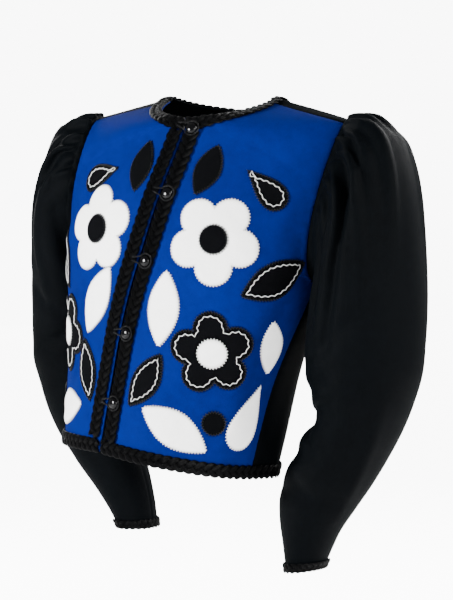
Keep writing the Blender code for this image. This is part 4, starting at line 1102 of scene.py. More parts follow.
def panel_rows(panel, rows):
    """Shares of the height, with one exactly at the underarm and the last at the shoulder seam."""
    end = UP_SEAM_ARMHOLE if panel == "front" else 2 - UP_SEAM_ARMHOLE
    lower = np.linspace(0, UP_ARMHOLE, rows // 2)
    return np.concatenate([lower, np.linspace(UP_ARMHOLE, end, rows // 2 + 1)[1:]])


def make_front(side):
    across, up = panel_grid("front", seam_spaced(PANEL_COLUMNS), panel_rows("front", PANEL_ROWS))
    points, normals = fine_panel("front", side, across, up)
    faces = grid_faces(*points.shape[:2])
    piece = cloth_wall(f"front_{side}_cloth", points, normals, faces, BODY_WALL, LOOKS["blue_wool"],
                       grid_uvs(points))
    return settle(piece, "blue_wool", f"front_{side}")


fronts = {side: make_front(side) for side in SIDES}

# %% [markdown]
# The back is cut in one piece with no seam down its middle, so its two halves share their middle points up
# to the neckline and part above it.

# %% The black back
def make_back():
    across, up = panel_grid("back", seam_spaced(PANEL_COLUMNS), panel_rows("back", PANEL_ROWS))
    points, normals, faces, uvs = [], [], [], []
    shared = {}
    for side in SIDES:
        half, facing = fine_panel("back", side, across, up)
        index = {}
        for i, (p, n) in enumerate(zip(half.reshape(-1, 3), facing.reshape(-1, 3))):
            r, c = divmod(i, PANEL_COLUMNS)
            if c == 0 and up[r, 0] <= UP_NECK_BACK + TINY:
                if side == "right":
                    index[i] = shared[r]
                    points[shared[r]] = (points[shared[r]] + p) / 2
                    normals[shared[r]] = unit(normals[shared[r]] + n)
                    continue
                shared[r] = len(points)
            index[i] = len(points)
            points.append(p)
            normals.append(n)
        sign = 1 if side == "left" else -1
        for face, corner in zip(grid_faces(*half.shape[:2]), grid_uvs(half)):
            face = [index[i] for i in face]
            corner = [(sign * u, v) for u, v in corner]
            faces.append(tuple(face if side == "left" else reversed(face)))
            uvs.append(corner if side == "left" else corner[::-1])
    piece = cloth_wall("back_cloth", np.array(points), np.array(normals), faces, BODY_WALL,
                       LOOKS["black_crepe"], uvs)
    return settle(piece, "black_crepe", "back")


back = make_back()

# %% [markdown]
# A sleeve is a closed tube, from the gathered head at the armhole, full over the upper arm and bent at the
# elbow, to a narrow cuff. Its inner face shows at the cuff and through the neck. At the armhole a narrow
# seam allowance turns in below the panel's edge, so that no light comes through the seam.

# %% The two black sleeves
ALLOWANCE_DROP = 0.0024
ALLOWANCE_WIDTH = 0.0030


def with_allowance(side, points, normals):
    """Sleeve rows led by a seam allowance: down past the panel's edge, then in below it."""
    seam, facing = armhole_loop(side, np.linspace(0, 2 * math.pi, points.shape[1], endpoint=False))
    away = away_from_panel(seam, facing)
    down = points[0] - facing * ALLOWANCE_DROP
    slanted = unit(facing - away)
    normals[0] = slanted
    points = np.concatenate([[down - away * ALLOWANCE_WIDTH, down], points])
    return points, np.concatenate([[facing, slanted], normals])


def make_sleeve(side):
    points, normals = with_allowance(side, *fine_sleeve(side))
    faces = grid_faces(*points.shape[:2], wrap=True)
    piece = cloth_wall(f"sleeve_{side}_cloth", points, normals, faces, SLEEVE_WALL, LOOKS["black_crepe"],
                       grid_uvs(points, wrap=True))
    return settle(piece, "black_crepe", f"sleeve_{side}")


sleeves = {side: make_sleeve(side) for side in SIDES}

# %% [markdown]
# The braid is a flat plait of three padded cords. Each cord swings from side to side and dips under the
# next at every crossing, one third of a repeat after its neighbour. A node tree draws it along any path:
# it copies the path three times, moves each copy by its own wave and sweeps a ribbed oval along it.

# %% Node tree helpers
def new_tree(name, inputs):
    """Geometry node group with a geometry in and out, and named inputs given as (type, default)."""
    tree = bpy.data.node_groups.new(name, "GeometryNodeTree")
    tree.interface.new_socket("Geometry", in_out="INPUT", socket_type="NodeSocketGeometry")
    for label, (kind, value) in inputs.items():
        socket = tree.interface.new_socket(label, in_out="INPUT", socket_type=f"NodeSocket{kind}")
        if value is not None:
            socket.default_value = value
    tree.interface.new_socket("Geometry", in_out="OUTPUT", socket_type="NodeSocketGeometry")
    return tree, tree.nodes.new("NodeGroupInput"), tree.nodes.new("NodeGroupOutput")


def place(tree, kind, links=None, **settings):
    """New node with its properties set and its inputs linked or filled, by name or number."""
    node = tree.nodes.new(kind)
    for label, value in settings.items():
        setattr(node, label, value)
    for key, value in (links or {}).items():
        socket = node.inputs[key]
        if isinstance(value, bpy.types.NodeSocket):
            tree.links.new(value, socket)
        else:
            socket.default_value = value
    return node


def calc(tree, operation, a, b=0.0):
    return place(tree, "ShaderNodeMath", {0: a, 1: b}, operation=operation).outputs[0]


def vector_calc(tree, operation, a, b=None, scale=None):
    links = {0: a}
    if b is not None:
        links[1] = b
    if scale is not None:
        links["Scale"] = scale
    return place(tree, "ShaderNodeVectorMath", links, operation=operation).outputs[0]


def path_frame(tree):
    """Outward and sideways directions at each point of a path that carries its cloth's normal as 'out'."""
    out = place(tree, "GeometryNodeInputNamedAttribute", {"Name": "out"}, data_type="FLOAT_VECTOR").outputs[0]
    tangent = place(tree, "GeometryNodeInputTangent").outputs[0]
    side = vector_calc(tree, "NORMALIZE", vector_calc(tree, "CROSS_PRODUCT", tangent, out))
    return out, side


def oval_profile(tree, width, thickness, sides, ribs, rib_depth):
    """Closed oval curve with small ribs. It stores each point's share of the way round as 'around'."""
    circle = place(tree, "GeometryNodeCurvePrimitiveCircle", {"Resolution": sides, "Radius": 0.5},
                   mode="RADIUS")
    index = place(tree, "GeometryNodeInputIndex").outputs[0]
    around = calc(tree, "DIVIDE", index, float(sides))
    stored = place(tree, "GeometryNodeStoreNamedAttribute", {"Geometry": circle.outputs[0], "Name": "around",
                                                             "Value": around},
                   data_type="FLOAT", domain="POINT")
    wave = calc(tree, "ABSOLUTE", calc(tree, "SINE", calc(tree, "MULTIPLY", around, math.pi * ribs)))
    grow = calc(tree, "ADD", calc(tree, "MULTIPLY", wave, rib_depth), 1.0 - rib_depth)
    shape = place(tree, "ShaderNodeCombineXYZ", {"X": calc(tree, "MULTIPLY", thickness, grow),
                                                 "Y": calc(tree, "MULTIPLY", width, grow), "Z": 1.0})
    position = place(tree, "GeometryNodeInputPosition").outputs[0]
    moved = vector_calc(tree, "MULTIPLY", position, shape.outputs[0])
    shaped = place(tree, "GeometryNodeSetPosition", {"Geometry": stored.outputs[0], "Position": moved})
    return shaped.outputs[0]


def sweep(tree, curve, profile, out, material):
    """Tube along a curve whose oval keeps its flat side to the cloth, as real geometry with a material."""
    facing = place(tree, "GeometryNodeSetCurveNormal", {"Curve": curve, "Normal": out}, mode="FREE")
    length = place(tree, "GeometryNodeSplineParameter").outputs["Length"]
    stored = place(tree, "GeometryNodeStoreNamedAttribute", {"Geometry": facing.outputs[0], "Name": "along",
                                                             "Value": length},
                   data_type="FLOAT", domain="POINT")
    tube = place(tree, "GeometryNodeCurveToMesh", {"Curve": stored.outputs[0], "Profile Curve": profile,
                                                   "Fill Caps": True})
    smooth = place(tree, "GeometryNodeSetShadeSmooth", {"Geometry": tube.outputs[0]})
    real = place(tree, "GeometryNodeRealizeInstances", {"Geometry": smooth.outputs[0]})
    dressed = place(tree, "GeometryNodeSetMaterial", {"Geometry": real.outputs[0], "Material": material})
    return dressed.outputs[0]


print("node helpers are ready; groups so far:", len(bpy.data.node_groups))

# %% [markdown]
# The three cords are the same path three times over, one third of a repeat apart. A sine moves each from
# side to side, and a sine of twice the pace lifts it over one neighbour and under the next. The length is
# cut into whole repeats, so that a ring of braid meets itself.

# %% Node tree of the plait
PLAIT_CORDS = 3
RIB_DEPTH = 0.12


def plait_tree(sides=20, ribs=10):
    """Flat plait of three ribbed cords along each path, lifted to lie on the cloth."""
    tree, given, result = new_tree("three_cord_plait", {
        "Half spread": ("Float", 0.006), "Rise": ("Float", 0.0008), "Repeat": ("Float", 0.025),
        "Cord width": ("Float", 0.0056), "Cord thickness": ("Float", 0.0021), "Lift": ("Float", 0.0018),
        "Step": ("Float", 0.0014), "Material": ("Material", None)})
    g = given.outputs
    path = place(tree, "GeometryNodeMeshToCurve", {"Mesh": g["Geometry"]}, mode="EDGES").outputs[0]
    fine = place(tree, "GeometryNodeResampleCurve", {"Curve": path, "Length": g["Step"]}, mode="LENGTH")
    copies = place(tree, "GeometryNodeDuplicateElements",
                   {"Geometry": fine.outputs[0], "Amount": PLAIT_CORDS}, domain="SPLINE")
    whole = place(tree, "GeometryNodeSplineLength").outputs["Length"]
    repeats = calc(tree, "ROUND", calc(tree, "DIVIDE", whole, g["Repeat"]))
    factor = place(tree, "GeometryNodeSplineParameter").outputs["Factor"]
    own = calc(tree, "DIVIDE", copies.outputs["Duplicate Index"], float(PLAIT_CORDS))
    turns = calc(tree, "ADD", calc(tree, "MULTIPLY", factor, repeats), own)
    phase = calc(tree, "MULTIPLY", turns, 2 * math.pi)
    across = calc(tree, "MULTIPLY", calc(tree, "SINE", phase), g["Half spread"])
    height = calc(tree, "MULTIPLY", calc(tree, "SINE", calc(tree, "MULTIPLY", phase, 2.0)), g["Rise"])
    height = calc(tree, "ADD", height, g["Lift"])
    out, side = path_frame(tree)
    shift = vector_calc(tree, "ADD", vector_calc(tree, "SCALE", side, scale=across),
                        vector_calc(tree, "SCALE", out, scale=height))
    woven = place(tree, "GeometryNodeSetPosition", {"Geometry": copies.outputs[0],
                                                    "Offset": shift}).outputs[0]
    profile = oval_profile(tree, g["Cord width"], g["Cord thickness"], sides, ribs, RIB_DEPTH)
    tree.links.new(sweep(tree, woven, profile, out, g["Material"]), result.inputs[0])
    return tree


PLAIT = plait_tree()


def path_object(name, paths):
    """Mesh of loose edges along paths, each (points, normals, closed). The normals are kept as 'out'."""
    points, normals, edges = [], [], []
    for path, facing, closed in paths:
        start, count = len(points), len(path)
        points.extend(path)
        normals.extend(facing)
        edges.extend((start + i, start + (i + 1) % count) for i in range(count if closed else count - 1))
    mesh = bpy.data.meshes.new(name)
    mesh.from_pydata([tuple(p) for p in points], edges, [])
    layer = mesh.attributes.new("out", "FLOAT_VECTOR", "POINT")
    layer.data.foreach_set("vector", np.array(normals, np.float32).ravel())
    return add_object(name, mesh)


def grow(piece, tree, values):
    """Run a node tree on a path object and keep the result as a plain mesh, with faces outwards."""
    modifier = piece.modifiers.new(tree.name, "NODES")
    modifier.node_group = tree
    sockets = {item.name: item.identifier for item in tree.interface.items_tree if item.in_out == "INPUT"}
    for label, value in values.items():
        modifier[sockets[label]] = value
    graph = bpy.context.evaluated_depsgraph_get()
    graph.update()
    made = bpy.data.meshes.new_from_object(piece.evaluated_get(graph), preserve_all_data_layers=True,
                                           depsgraph=graph)
    piece.modifiers.clear()
    old, piece.data = piece.data, made
    made.name = piece.name
    bpy.data.meshes.remove(old)
    if signed_volume(made) < 0:
        made.flip_normals()
    return piece


print("plait inputs:", [item.name for item in PLAIT.interface.items_tree if item.in_out == "INPUT"])

# %% [markdown]
# What is sewn on lies on the cloth as it is, creases and all. So the fine cloth is kept as search trees:
# a point near the cloth is dropped onto it, and gives back its place and the cloth's own direction there.

# %% The cloth to lay things on
def cloth_tree(grids):
    points, faces = [], []
    for grid, wrap in grids:
        start = len(points)
        points.extend(map(tuple, grid.reshape(-1, 3)))
        faces.extend(tuple(start + i for i in face) for face in grid_faces(*grid.shape[:2], wrap))
    return BVHTree.FromPolygons(points, faces)


def fine_grid(panel, side):
    across, up = panel_grid(panel, np.linspace(0, 1, 81), panel_rows(panel, 160))
    return fine_panel(panel, side, across, up)[0]


SKINS = {(panel, side): fine_grid(panel, side) for panel in ("front", "back") for side in SIDES}
BODY_CLOTH = cloth_tree([(grid, False) for grid in SKINS.values()])
FRONT_CLOTH = {side: cloth_tree([(SKINS["front", side], False)]) for side in SIDES}
SLEEVE_CLOTH = {side: cloth_tree([(fine_sleeve(side)[0], True)]) for side in SIDES}
print("rows and columns of each panel to lay on:", SKINS["front", "left"].shape[:2])


def on_cloth(tree, point, outward):
    """Nearest point of the cloth and its normal, turned to the outward side."""
    spot, normal, _, _ = tree.find_nearest(Vector(point))
    normal = np.array(normal)
    return np.array(spot), (normal if np.dot(normal, outward) > 0 else -normal)


def smoothed(values, closed, rounds=6):
    """Average each row with its neighbours a few times."""
    values = np.array(values)
    for _ in range(rounds):
        if closed:
            values = (np.roll(values, 1, axis=0) + 2 * values + np.roll(values, -1, axis=0)) / 4
        else:
            middle = (values[:-2] + 2 * values[1:-1] + values[2:]) / 4
            values = np.concatenate([values[:1], middle, values[-1:]])
    return values


def laid_path(tree, path, outward, inward, shift, closed=False):
    """Path moved into the cloth by a distance and dropped onto it: smooth points and normals."""
    spots, normals = [], []
    for point, out, towards in zip(path, outward, inward):
        spot, normal = on_cloth(tree, point + towards * shift, out)
        spots.append(spot)
        normals.append(normal)
    return smoothed(spots, closed), unit(smoothed(normals, closed)), closed

# %% [markdown]
# Four lengths of braid edge the body: one round the neck, one down each front set back a little so that a
# line of blue shows, and one right round the hem. Each cuff has a narrower ring of the same plait.

# %% Braid sizes and paths
NECK_BRAID_WIDTH = 0.017
FRONT_BRAID_WIDTH = 0.020
HEM_BRAID_WIDTH = 0.018
CUFF_BRAID_WIDTH = 0.013

# How far a front braid's ends run under the braids they meet, and how much it nears the edge at the top
BRAID_TUCK = 0.0016
FRONT_TAPER = 0.0016
BRAID_CLEARANCE = 0.0002
Braid = namedtuple("Braid", "width setback repeat cord thickness rise")
BRAIDS = {
    "neck": Braid(NECK_BRAID_WIDTH, -0.0009, 0.0310, 0.0068, 0.0026, 0.00085),
    "front": Braid(FRONT_BRAID_WIDTH + 0.0008, 0.0018, 0.0330, 0.0080, 0.0026, 0.00085),
    "hem": Braid(HEM_BRAID_WIDTH + 0.0004, -0.0016, 0.0320, 0.0073, 0.0026, 0.00085),
    "cuff": Braid(CUFF_BRAID_WIDTH, -0.0008, 0.0240, 0.0054, 0.0021, 0.00070),
}


def edge_frames(path, outward):
    """Direction across an edge, in the cloth, at each point of a path."""
    return unit(np.cross(unit(np.gradient(path, axis=0)), outward))


def path_pieces(spans):
    """Points and normals along panel edges, one span after another, without repeats."""
    points, normals = [], []
    for panel, side, across, up in spans:
        place = body_point(panel, side, across, up)
        facing = body_normal(panel, side, across, up)
        skip = 1 if points and np.linalg.norm(place[0] - points[-1]) < 0.001 else 0
        points.extend(place[skip:])
        normals.extend(facing[skip:])
    return np.array(points), np.array(normals)


def front_edge_fall(side):
    """Downward direction of a front edge just below the neck."""
    top = body_point("front", side, np.zeros(2), np.array([UP_NECK_FRONT, UP_NECK_FRONT - 0.03]))
    return unit(top[1] - top[0])


def neck_path():
    """Neck edge from the left front round the back to the right front."""
    front = np.linspace(UP_NECK_FRONT, 1, 70)
    back = np.linspace(1, UP_NECK_BACK, 60)
    zero = np.zeros_like
    return path_pieces((("front", "left", zero(front), front), ("back", "left", zero(back), back),
                        ("back", "right", zero(back), back[::-1]),
                        ("front", "right", zero(front), front[::-1])))


def hem_path():
    front, back = np.linspace(0, 1, 110), np.linspace(1, 0, 110)
    zero = np.zeros_like
    return path_pieces((("front", "left", front, zero(front)), ("back", "left", back, zero(back)),
                        ("back", "right", back[::-1], zero(back)),
                        ("front", "right", front[::-1], zero(front))))


def front_edge_path(side):
    """Front edge from the hem braid to the neck braid, its ends just under both."""
    length = UP_NECK_FRONT / (-NECK_DROP_FRONT - HEM_FRONT)
    up = np.linspace((HEM_BRAID_WIDTH - BRAID_TUCK) * length,
                     UP_NECK_FRONT - (NECK_BRAID_WIDTH - BRAID_TUCK) * length, 200)
    return path_pieces((("front", side, np.zeros_like(up), up),))


print("points on the neck path:", len(neck_path()[0]), "and on the hem path:", len(hem_path()[0]))

# %% [markdown]
# Each path is moved into the cloth by half the braid's width, dropped onto the fine cloth and plaited.

# %% The braids
def make_braid(name, kind, path, *nodes):
    braid = BRAIDS[kind]
    piece = grow(path_object(name, [path]), PLAIT, {
        "Half spread": (braid.width - braid.cord) / 2, "Rise": braid.rise, "Repeat": braid.repeat,
        "Cord width": braid.cord, "Cord thickness": braid.thickness,
        "Lift": braid.rise + braid.thickness / 2 + BRAID_CLEARANCE, "Material": LOOKS["braid_yarn"]})
    return settle(piece, "braid_yarn", *nodes)


def middle_shift(kind):
    return BRAIDS[kind].setback + BRAIDS[kind].width / 2


path, facing = neck_path()
inward = edge_frames(path, facing)
inward[0], inward[-1] = front_edge_fall("left"), front_edge_fall("right")
inward = unit(smoothed(inward, False))
make_braid("neck_plait", "neck", laid_path(BODY_CLOTH, path, facing, inward,
                                                            middle_shift("neck")), "neck_braid")
path, facing = hem_path()
inward = edge_frames(path, facing)
inward = inward if inward[0][2] > 0 else -inward
make_braid("hem_plait", "hem", laid_path(BODY_CLOTH, path, facing, inward,
                                                         middle_shift("hem")), "hem_braid")
for side in SIDES:
    path, facing = front_edge_path(side)
    inward = edge_frames(path, facing)
    middle = body_point("front", side, np.array([0.5]), np.array([UP_NECK_FRONT / 2]))
    inward = inward * np.sign(np.sum(inward * (middle - path)))
    shift = middle_shift("front") - FRONT_TAPER * np.linspace(0, 1, len(path))[:, None]
    make_braid(f"front_plait_{side}", "front", laid_path(
        FRONT_CLOTH[side], path, facing, inward * shift, 1.0), f"front_braid_{side}")
    turns = np.linspace(0, 2 * math.pi, 200, endpoint=False)
    cuff, above = sleeve_point(side, turns[None, :], np.array([[1.0], [0.98]]))
    make_braid(f"cuff_plait_{side}", "cuff", laid_path(
        SLEEVE_CLOTH[side], cuff, unit(cuff - cuff.mean(axis=0)), unit(above - cuff), middle_shift("cuff"),
        closed=True), f"cuff_braid_{side}")

# %% [markdown]
# The shapes on the fronts are felt: flowers, leaves, drops and discs in white and black, the same on both
# fronts in mirror image. A short table places each one by its distance from the front edge and the hem.

# %% Table of the felt shapes
FELT = 0.0012
Motif = namedtuple("Motif", "form colour from_edge above_hem length width turn layer")
MOTIFS = (
    Motif("flower", "white", 0.085, 0.284, 0.108, 0.108, 10, 1),
    Motif("disc", "black", 0.085, 0.284, 0.034, 0.034, 0, 2),
    Motif("leaf", "black", 0.170, 0.252, 0.088, 0.042, -40, 1),
    Motif("leaf", "white", 0.050, 0.188, 0.090, 0.040, 14, 1),
    Motif("leaf", "black", 0.046, 0.362, 0.066, 0.032, -12, 1),
    Motif("flower", "black", 0.124, 0.150, 0.100, 0.100, -12, 1),
    Motif("disc", "white", 0.124, 0.150, 0.034, 0.034, 0, 2),
    Motif("leaf", "white", 0.196, 0.172, 0.066, 0.030, 20, 1),
    Motif("leaf", "black", 0.048, 0.100, 0.078, 0.036, -22, 1),
    Motif("leaf", "white", 0.096, 0.048, 0.092, 0.042, 70, 1),
    Motif("drop", "white", 0.184, 0.080, 0.082, 0.046, -10, 1),
    Motif("disc", "black", 0.142, 0.066, 0.028, 0.028, 0, 1),
    Motif("drop", "black", 0.122, 0.374, 0.062, 0.038, 52, 1),
)


print("felt shapes on each front:", len(MOTIFS))

# %% [markdown]
# Four closed outlines, each from one short formula, give every shape. They are then cut to even steps and
# filled with triangles, because a felt has to bend with the cloth below it.

# %% Outlines, and how they are filled
def leaf_outline(length, width, points=96, roundness=0.85, fuller=0.54):
    """Pointed oval with one side a little fuller, lengthwise along Y."""
    share = np.linspace(-1, 1, points // 2 + 1)
    half = np.cos(share * math.pi / 2) ** roundness
    right = np.stack([half * width * fuller, share * length / 2], axis=-1)
    left = np.stack([-half * width * (1 - fuller), share * length / 2], axis=-1)
    return np.concatenate([right, left[-2:0:-1]])


def drop_outline(length, width, points=90, taper=0.75, fullness=0.62):
    """Round at one end, pointed at the other."""
    angle = np.linspace(0, 2 * math.pi, points, endpoint=False)
    half = np.sin(angle) * (0.5 - 0.5 * np.cos(angle)) ** taper
    return np.stack([half * width * fullness, np.cos(angle) * length / 2], axis=-1)


def disc_outline(length, width, points=48):
    angle = np.linspace(0, 2 * math.pi, points, endpoint=False)
    return np.stack([np.cos(angle) * width / 2, np.sin(angle) * length / 2], axis=-1)


def flower_outline(length, width, petals=5, points=200, notch=0.34, roundness=0.7):
    """Round petals about a middle."""
    angle = np.linspace(0, 2 * math.pi, points, endpoint=False)
    reach = (1 - notch) + notch * np.abs(np.sin(angle * petals / 2)) ** roundness
    return np.stack([np.sin(angle) * reach * width / 2, np.cos(angle) * reach * length / 2], axis=-1)


OUTLINES = {"leaf": leaf_outline, "drop": drop_outline, "disc": disc_outline, "flower": flower_outline}


def evenly(outline, spacing):
    """The same closed outline with points an even distance apart."""
    ring = np.concatenate([outline, outline[:1]])
    run = np.concatenate([[0], np.cumsum(np.linalg.norm(np.diff(ring, axis=0), axis=1))])
    at = np.linspace(0, run[-1], max(12, round(run[-1] / spacing)), endpoint=False)
    return np.stack([np.interp(at, run, ring[:, 0]), np.interp(at, run, ring[:, 1])], axis=-1)


def inset(outline, distance):
    """Closed outline moved inwards by a distance, corners softened."""
    tangent = np.roll(outline, -1, axis=0) - np.roll(outline, 1, axis=0)
    sideways = np.stack([-tangent[:, 1], tangent[:, 0]], axis=-1)
    sideways = unit(smoothed(unit(sideways), True, 2))
    area = np.sum(outline[:, 0] * np.roll(outline[:, 1], -1) - outline[:, 1] * np.roll(outline[:, 0], -1))
    return outline + sideways * distance * np.sign(area)


def inside_of(outline, points):
    """True for points inside a closed outline."""
    a = outline[None, :, :] - points[:, None, :]
    b = np.roll(a, -1, axis=1)
    turning = a[..., 0] * b[..., 1] - a[..., 1] * b[..., 0]
    return np.abs(np.arctan2(turning, np.sum(a * b, axis=-1)).sum(axis=1)) > math.pi


def filled(outline, spacing=0.0042, row_pitch=0.87):
    """Points and triangles of a flat shape with an even scatter of inner points."""
    low, high = outline.min(axis=0), outline.max(axis=0)
    rows = np.arange(low[1], high[1], spacing * row_pitch)
    columns = np.arange(low[0], high[0], spacing)
    grid = np.array([(x + spacing / 2 * (r % 2), y) for r, y in enumerate(rows) for x in columns])
    grid = grid[inside_of(outline, grid)]
    gap = np.linalg.norm(grid[:, None, :] - outline[None, :, :], axis=-1).min(axis=1)
    grid = grid[gap > spacing * 0.5]
    points = [Vector(p) for p in outline.tolist()] + [Vector(p) for p in grid.tolist()]
    border = [(i, (i + 1) % len(outline)) for i in range(len(outline))]
    verts, _, faces, _, _, _ = delaunay_2d_cdt(points, border, [], 1, 1e-6)
    return np.array([tuple(v) for v in verts]), [tuple(face) for face in faces]


print("outlines:", ", ".join(OUTLINES))

# %% [markdown]
# Each felt is laid as a tailor lays it: the flat shape is held over the front and each of its points drops
# straight onto the wool. The felt then gets its own thickness, and its cut edge is softly rounded.

# %% Lay and make the felts
MEASURED_PLACES = 33
UP_STEP = 0.01
DROP_HEIGHT = 0.08
OUTLINE_SPACING = 0.0030
FELT_BASE = 0.0004
LAYER_RISE = 0.0017


def motif_place(motif, side):
    """Middle of a motif on its front, the cloth's normal there, and the directions right and up."""
    up = UP_NECK_FRONT * motif.above_hem / (-NECK_DROP_FRONT - HEM_FRONT)
    places = np.linspace(0, 1, MEASURED_PLACES)
    row = body_point("front", side, places, up)
    lengths = np.concatenate([[0], np.cumsum(np.linalg.norm(np.diff(row, axis=0), axis=1))])
    across = np.interp(motif.from_edge, lengths, places)
    centre = body_point("front", side, np.array([across]), np.array([up]))[0]
    normal = body_normal("front", side, np.array([across]), np.array([up]))[0]
    above = body_point("front", side, np.array([across]), np.array([up + UP_STEP]))[0] - centre
    above = unit(above - normal * np.dot(above, normal))
    return centre, normal, np.cross(above, normal) * (1 if side == "left" else -1), above


def laid_flat(flat, motif, side, lift):
    """Points of a flat shape dropped onto the front, and the cloth normals there."""
    centre, normal, right, above = motif_place(motif, side)
    angle = math.radians(motif.turn)
    x = flat[:, 0] * math.cos(angle) - flat[:, 1] * math.sin(angle)
    y = flat[:, 0] * math.sin(angle) + flat[:, 1] * math.cos(angle)
    spots, normals = [], []
    for across, up in zip(x, y):
        start = centre + right * across + above * up + normal * DROP_HEIGHT
        spot, facing, _, _ = FRONT_CLOTH[side].ray_cast(Vector(start), Vector(-normal))
        facing = np.array(facing)
        facing = facing if np.dot(facing, normal) > 0 else -facing
        spots.append(np.array(spot) + facing * lift)
        normals.append(facing)
    return np.array(spots), np.array(normals)


def felt_lift(motif):
    return FELT_BASE + (motif.layer - 1) * LAYER_RISE


def make_felt(number, motif, side):
    name = f"felt_{side}_{number:02d}_{motif.form}"
    outline = evenly(OUTLINES[motif.form](motif.length, motif.width), OUTLINE_SPACING)
    flat, faces = filled(outline)
    spots, normals = laid_flat(flat, motif, side, felt_lift(motif) + FELT)
    look = f"{motif.colour}_felt"
    piece = cloth_wall(f"{name}_cloth", spots, normals, faces, FELT, LOOKS[look])
    return settle(piece, look, name)


felts = {(side, number): make_felt(number, motif, side)
         for side in SIDES for number, motif in enumerate(MOTIFS, 1)}

# %% [markdown]
# Every felt is held by a close zigzag over its cut edge: each stitch starts on the felt, crosses the edge
# and dips to the wool. That gives the edge its small teeth. A node tree sews it along any outline.

# %% Node tree of the zigzag stitch
def zigzag_tree(sides=6):
    """Thread that zigzags across each path: high on one side, low on the other."""
    tree, given, result = new_tree("zigzag_stitch", {
        "Pitch": ("Float", 0.003), "Reach in": ("Float", 0.0015), "Reach out": ("Float", 0.0012),
        "Height in": ("Float", 0.0012), "Height out": ("Float", 0.0001), "Thread": ("Float", 0.0008),
        "Uneven": ("Float", 0.0002), "Seed": ("Int", 4), "Material": ("Material", None)})
    g = given.outputs
    path = place(tree, "GeometryNodeMeshToCurve", {"Mesh": g["Geometry"]}, mode="EDGES").outputs[0]
    whole = place(tree, "GeometryNodeSplineLength").outputs["Length"]
    count = calc(tree, "MULTIPLY", calc(tree, "ROUND", calc(tree, "DIVIDE", whole, g["Pitch"])), 2.0)
    even = place(tree, "GeometryNodeResampleCurve", {"Curve": path, "Count": count}, mode="COUNT").outputs[0]
    index = place(tree, "GeometryNodeSplineParameter").outputs["Index"]
    parity = calc(tree, "MODULO", index, 2.0)
    out, side = path_frame(tree)
    reach = calc(tree, "ADD", g["Reach in"], g["Reach out"])
    turn = calc(tree, "SUBTRACT", calc(tree, "MULTIPLY", reach, parity), g["Reach in"])
    jitter = place(tree, "FunctionNodeRandomValue", {2: -1.0, 3: 1.0, "Seed": g["Seed"]}).outputs[1]
    turn = calc(tree, "ADD", turn, calc(tree, "MULTIPLY", jitter, g["Uneven"]))
    height = calc(tree, "ADD", g["Height in"], calc(tree, "MULTIPLY", calc(
        tree, "SUBTRACT", g["Height out"], g["Height in"]), parity))
    shift = vector_calc(tree, "ADD", vector_calc(tree, "SCALE", side, scale=turn),
                        vector_calc(tree, "SCALE", out, scale=height))
    sewn = place(tree, "GeometryNodeSetPosition", {"Geometry": even, "Offset": shift}).outputs[0]
    profile = oval_profile(tree, g["Thread"], g["Thread"], sides, 1, 0.0)
    tree.links.new(sweep(tree, sewn, profile, out, g["Material"]), result.inputs[0])
    return tree


ZIGZAG = zigzag_tree()


def outline_path(motif, side, lift, distance=0.0, spacing=0.0022):
    """Laid outline of a motif, moved inwards by a distance, going round so that its side points out."""
    flat = evenly(inset(evenly(OUTLINES[motif.form](motif.length, motif.width), spacing), distance), spacing)
    area = np.sum(flat[:, 0] * np.roll(flat[:, 1], -1) - flat[:, 1] * np.roll(flat[:, 0], -1))
    if (area > 0) != (side == "left"):
        flat = flat[::-1]
    spots, normals = laid_flat(flat, motif, side, lift)
    return spots, normals, True


for side in SIDES:
    for colour in ("white", "black"):
        paths = [outline_path(m, side, felt_lift(m)) for m in MOTIFS if m.colour == colour]
        sewing = grow(path_object(f"edge_stitches_{colour}_{side}", paths), ZIGZAG, {
            "Pitch": 0.0036, "Reach in": 0.0014, "Reach out": 0.0016, "Height in": FELT + 0.0002,
            "Height out": 0.0001, "Thread": 0.0014, "Uneven": 0.0002, "Seed": 7,
            "Material": LOOKS[f"{colour}_thread"]})
        settle(sewing, f"{colour}_thread")

# %% [markdown]
# Some black shapes also carry a line of white thread, laid in a wide open zigzag just inside the edge. The
# same tree sews it, with a longer pitch, one thread thick and flat on the felt.

# %% White thread lines on the black felts
LINED = (2, 5, 8, 12)
LINE_INSET = 0.0052
for side in SIDES:
    paths = [outline_path(MOTIFS[n], side, felt_lift(MOTIFS[n]), LINE_INSET) for n in LINED]
    line = grow(path_object(f"thread_line_{side}", paths), ZIGZAG, {
        "Pitch": 0.0078, "Reach in": 0.0010, "Reach out": 0.0010, "Height in": FELT + 0.0003,
        "Height out": FELT + 0.0003, "Thread": 0.0007, "Uneven": 0.0003, "Seed": 11,
        "Material": LOOKS["white_thread"]})
    settle(line, "white_thread")

# %% [markdown]
# Five domed buttons sit on the braid of the left front. Each is turned on a lathe in one sweep: a slightly
# hollow back, a soft rim and a high polished dome.

# %% Buttons
BUTTON_RADIUS = 0.0072
BUTTON_THICKNESS = 0.0062
BUTTON_FROM_EDGE = 0.0105
BUTTON_DROPS = (0.011, 0.090, 0.172, 0.260, 0.346)
BUTTON_COLUMNS = 40
BUTTON_SEAT = 0.42
BRAID_TOP = 0.0031
ACROSS_SHARE, UP_SHARE = 0.02, 0.005
Turned = namedtuple("Turned", "radius height")
BUTTON_PROFILE = (Turned(0.00, -0.36), Turned(0.45, -0.40), Turned(0.80, -0.44), Turned(0.95, -0.36),
                  Turned(1.00, -0.22), Turned(0.985, -0.08), Turned(0.93, 0.08), Turned(0.82, 0.24),
                  Turned(0.66, 0.37), Turned(0.46, 0.46), Turned(0.24, 0.51), Turned(0.00, 0.53))


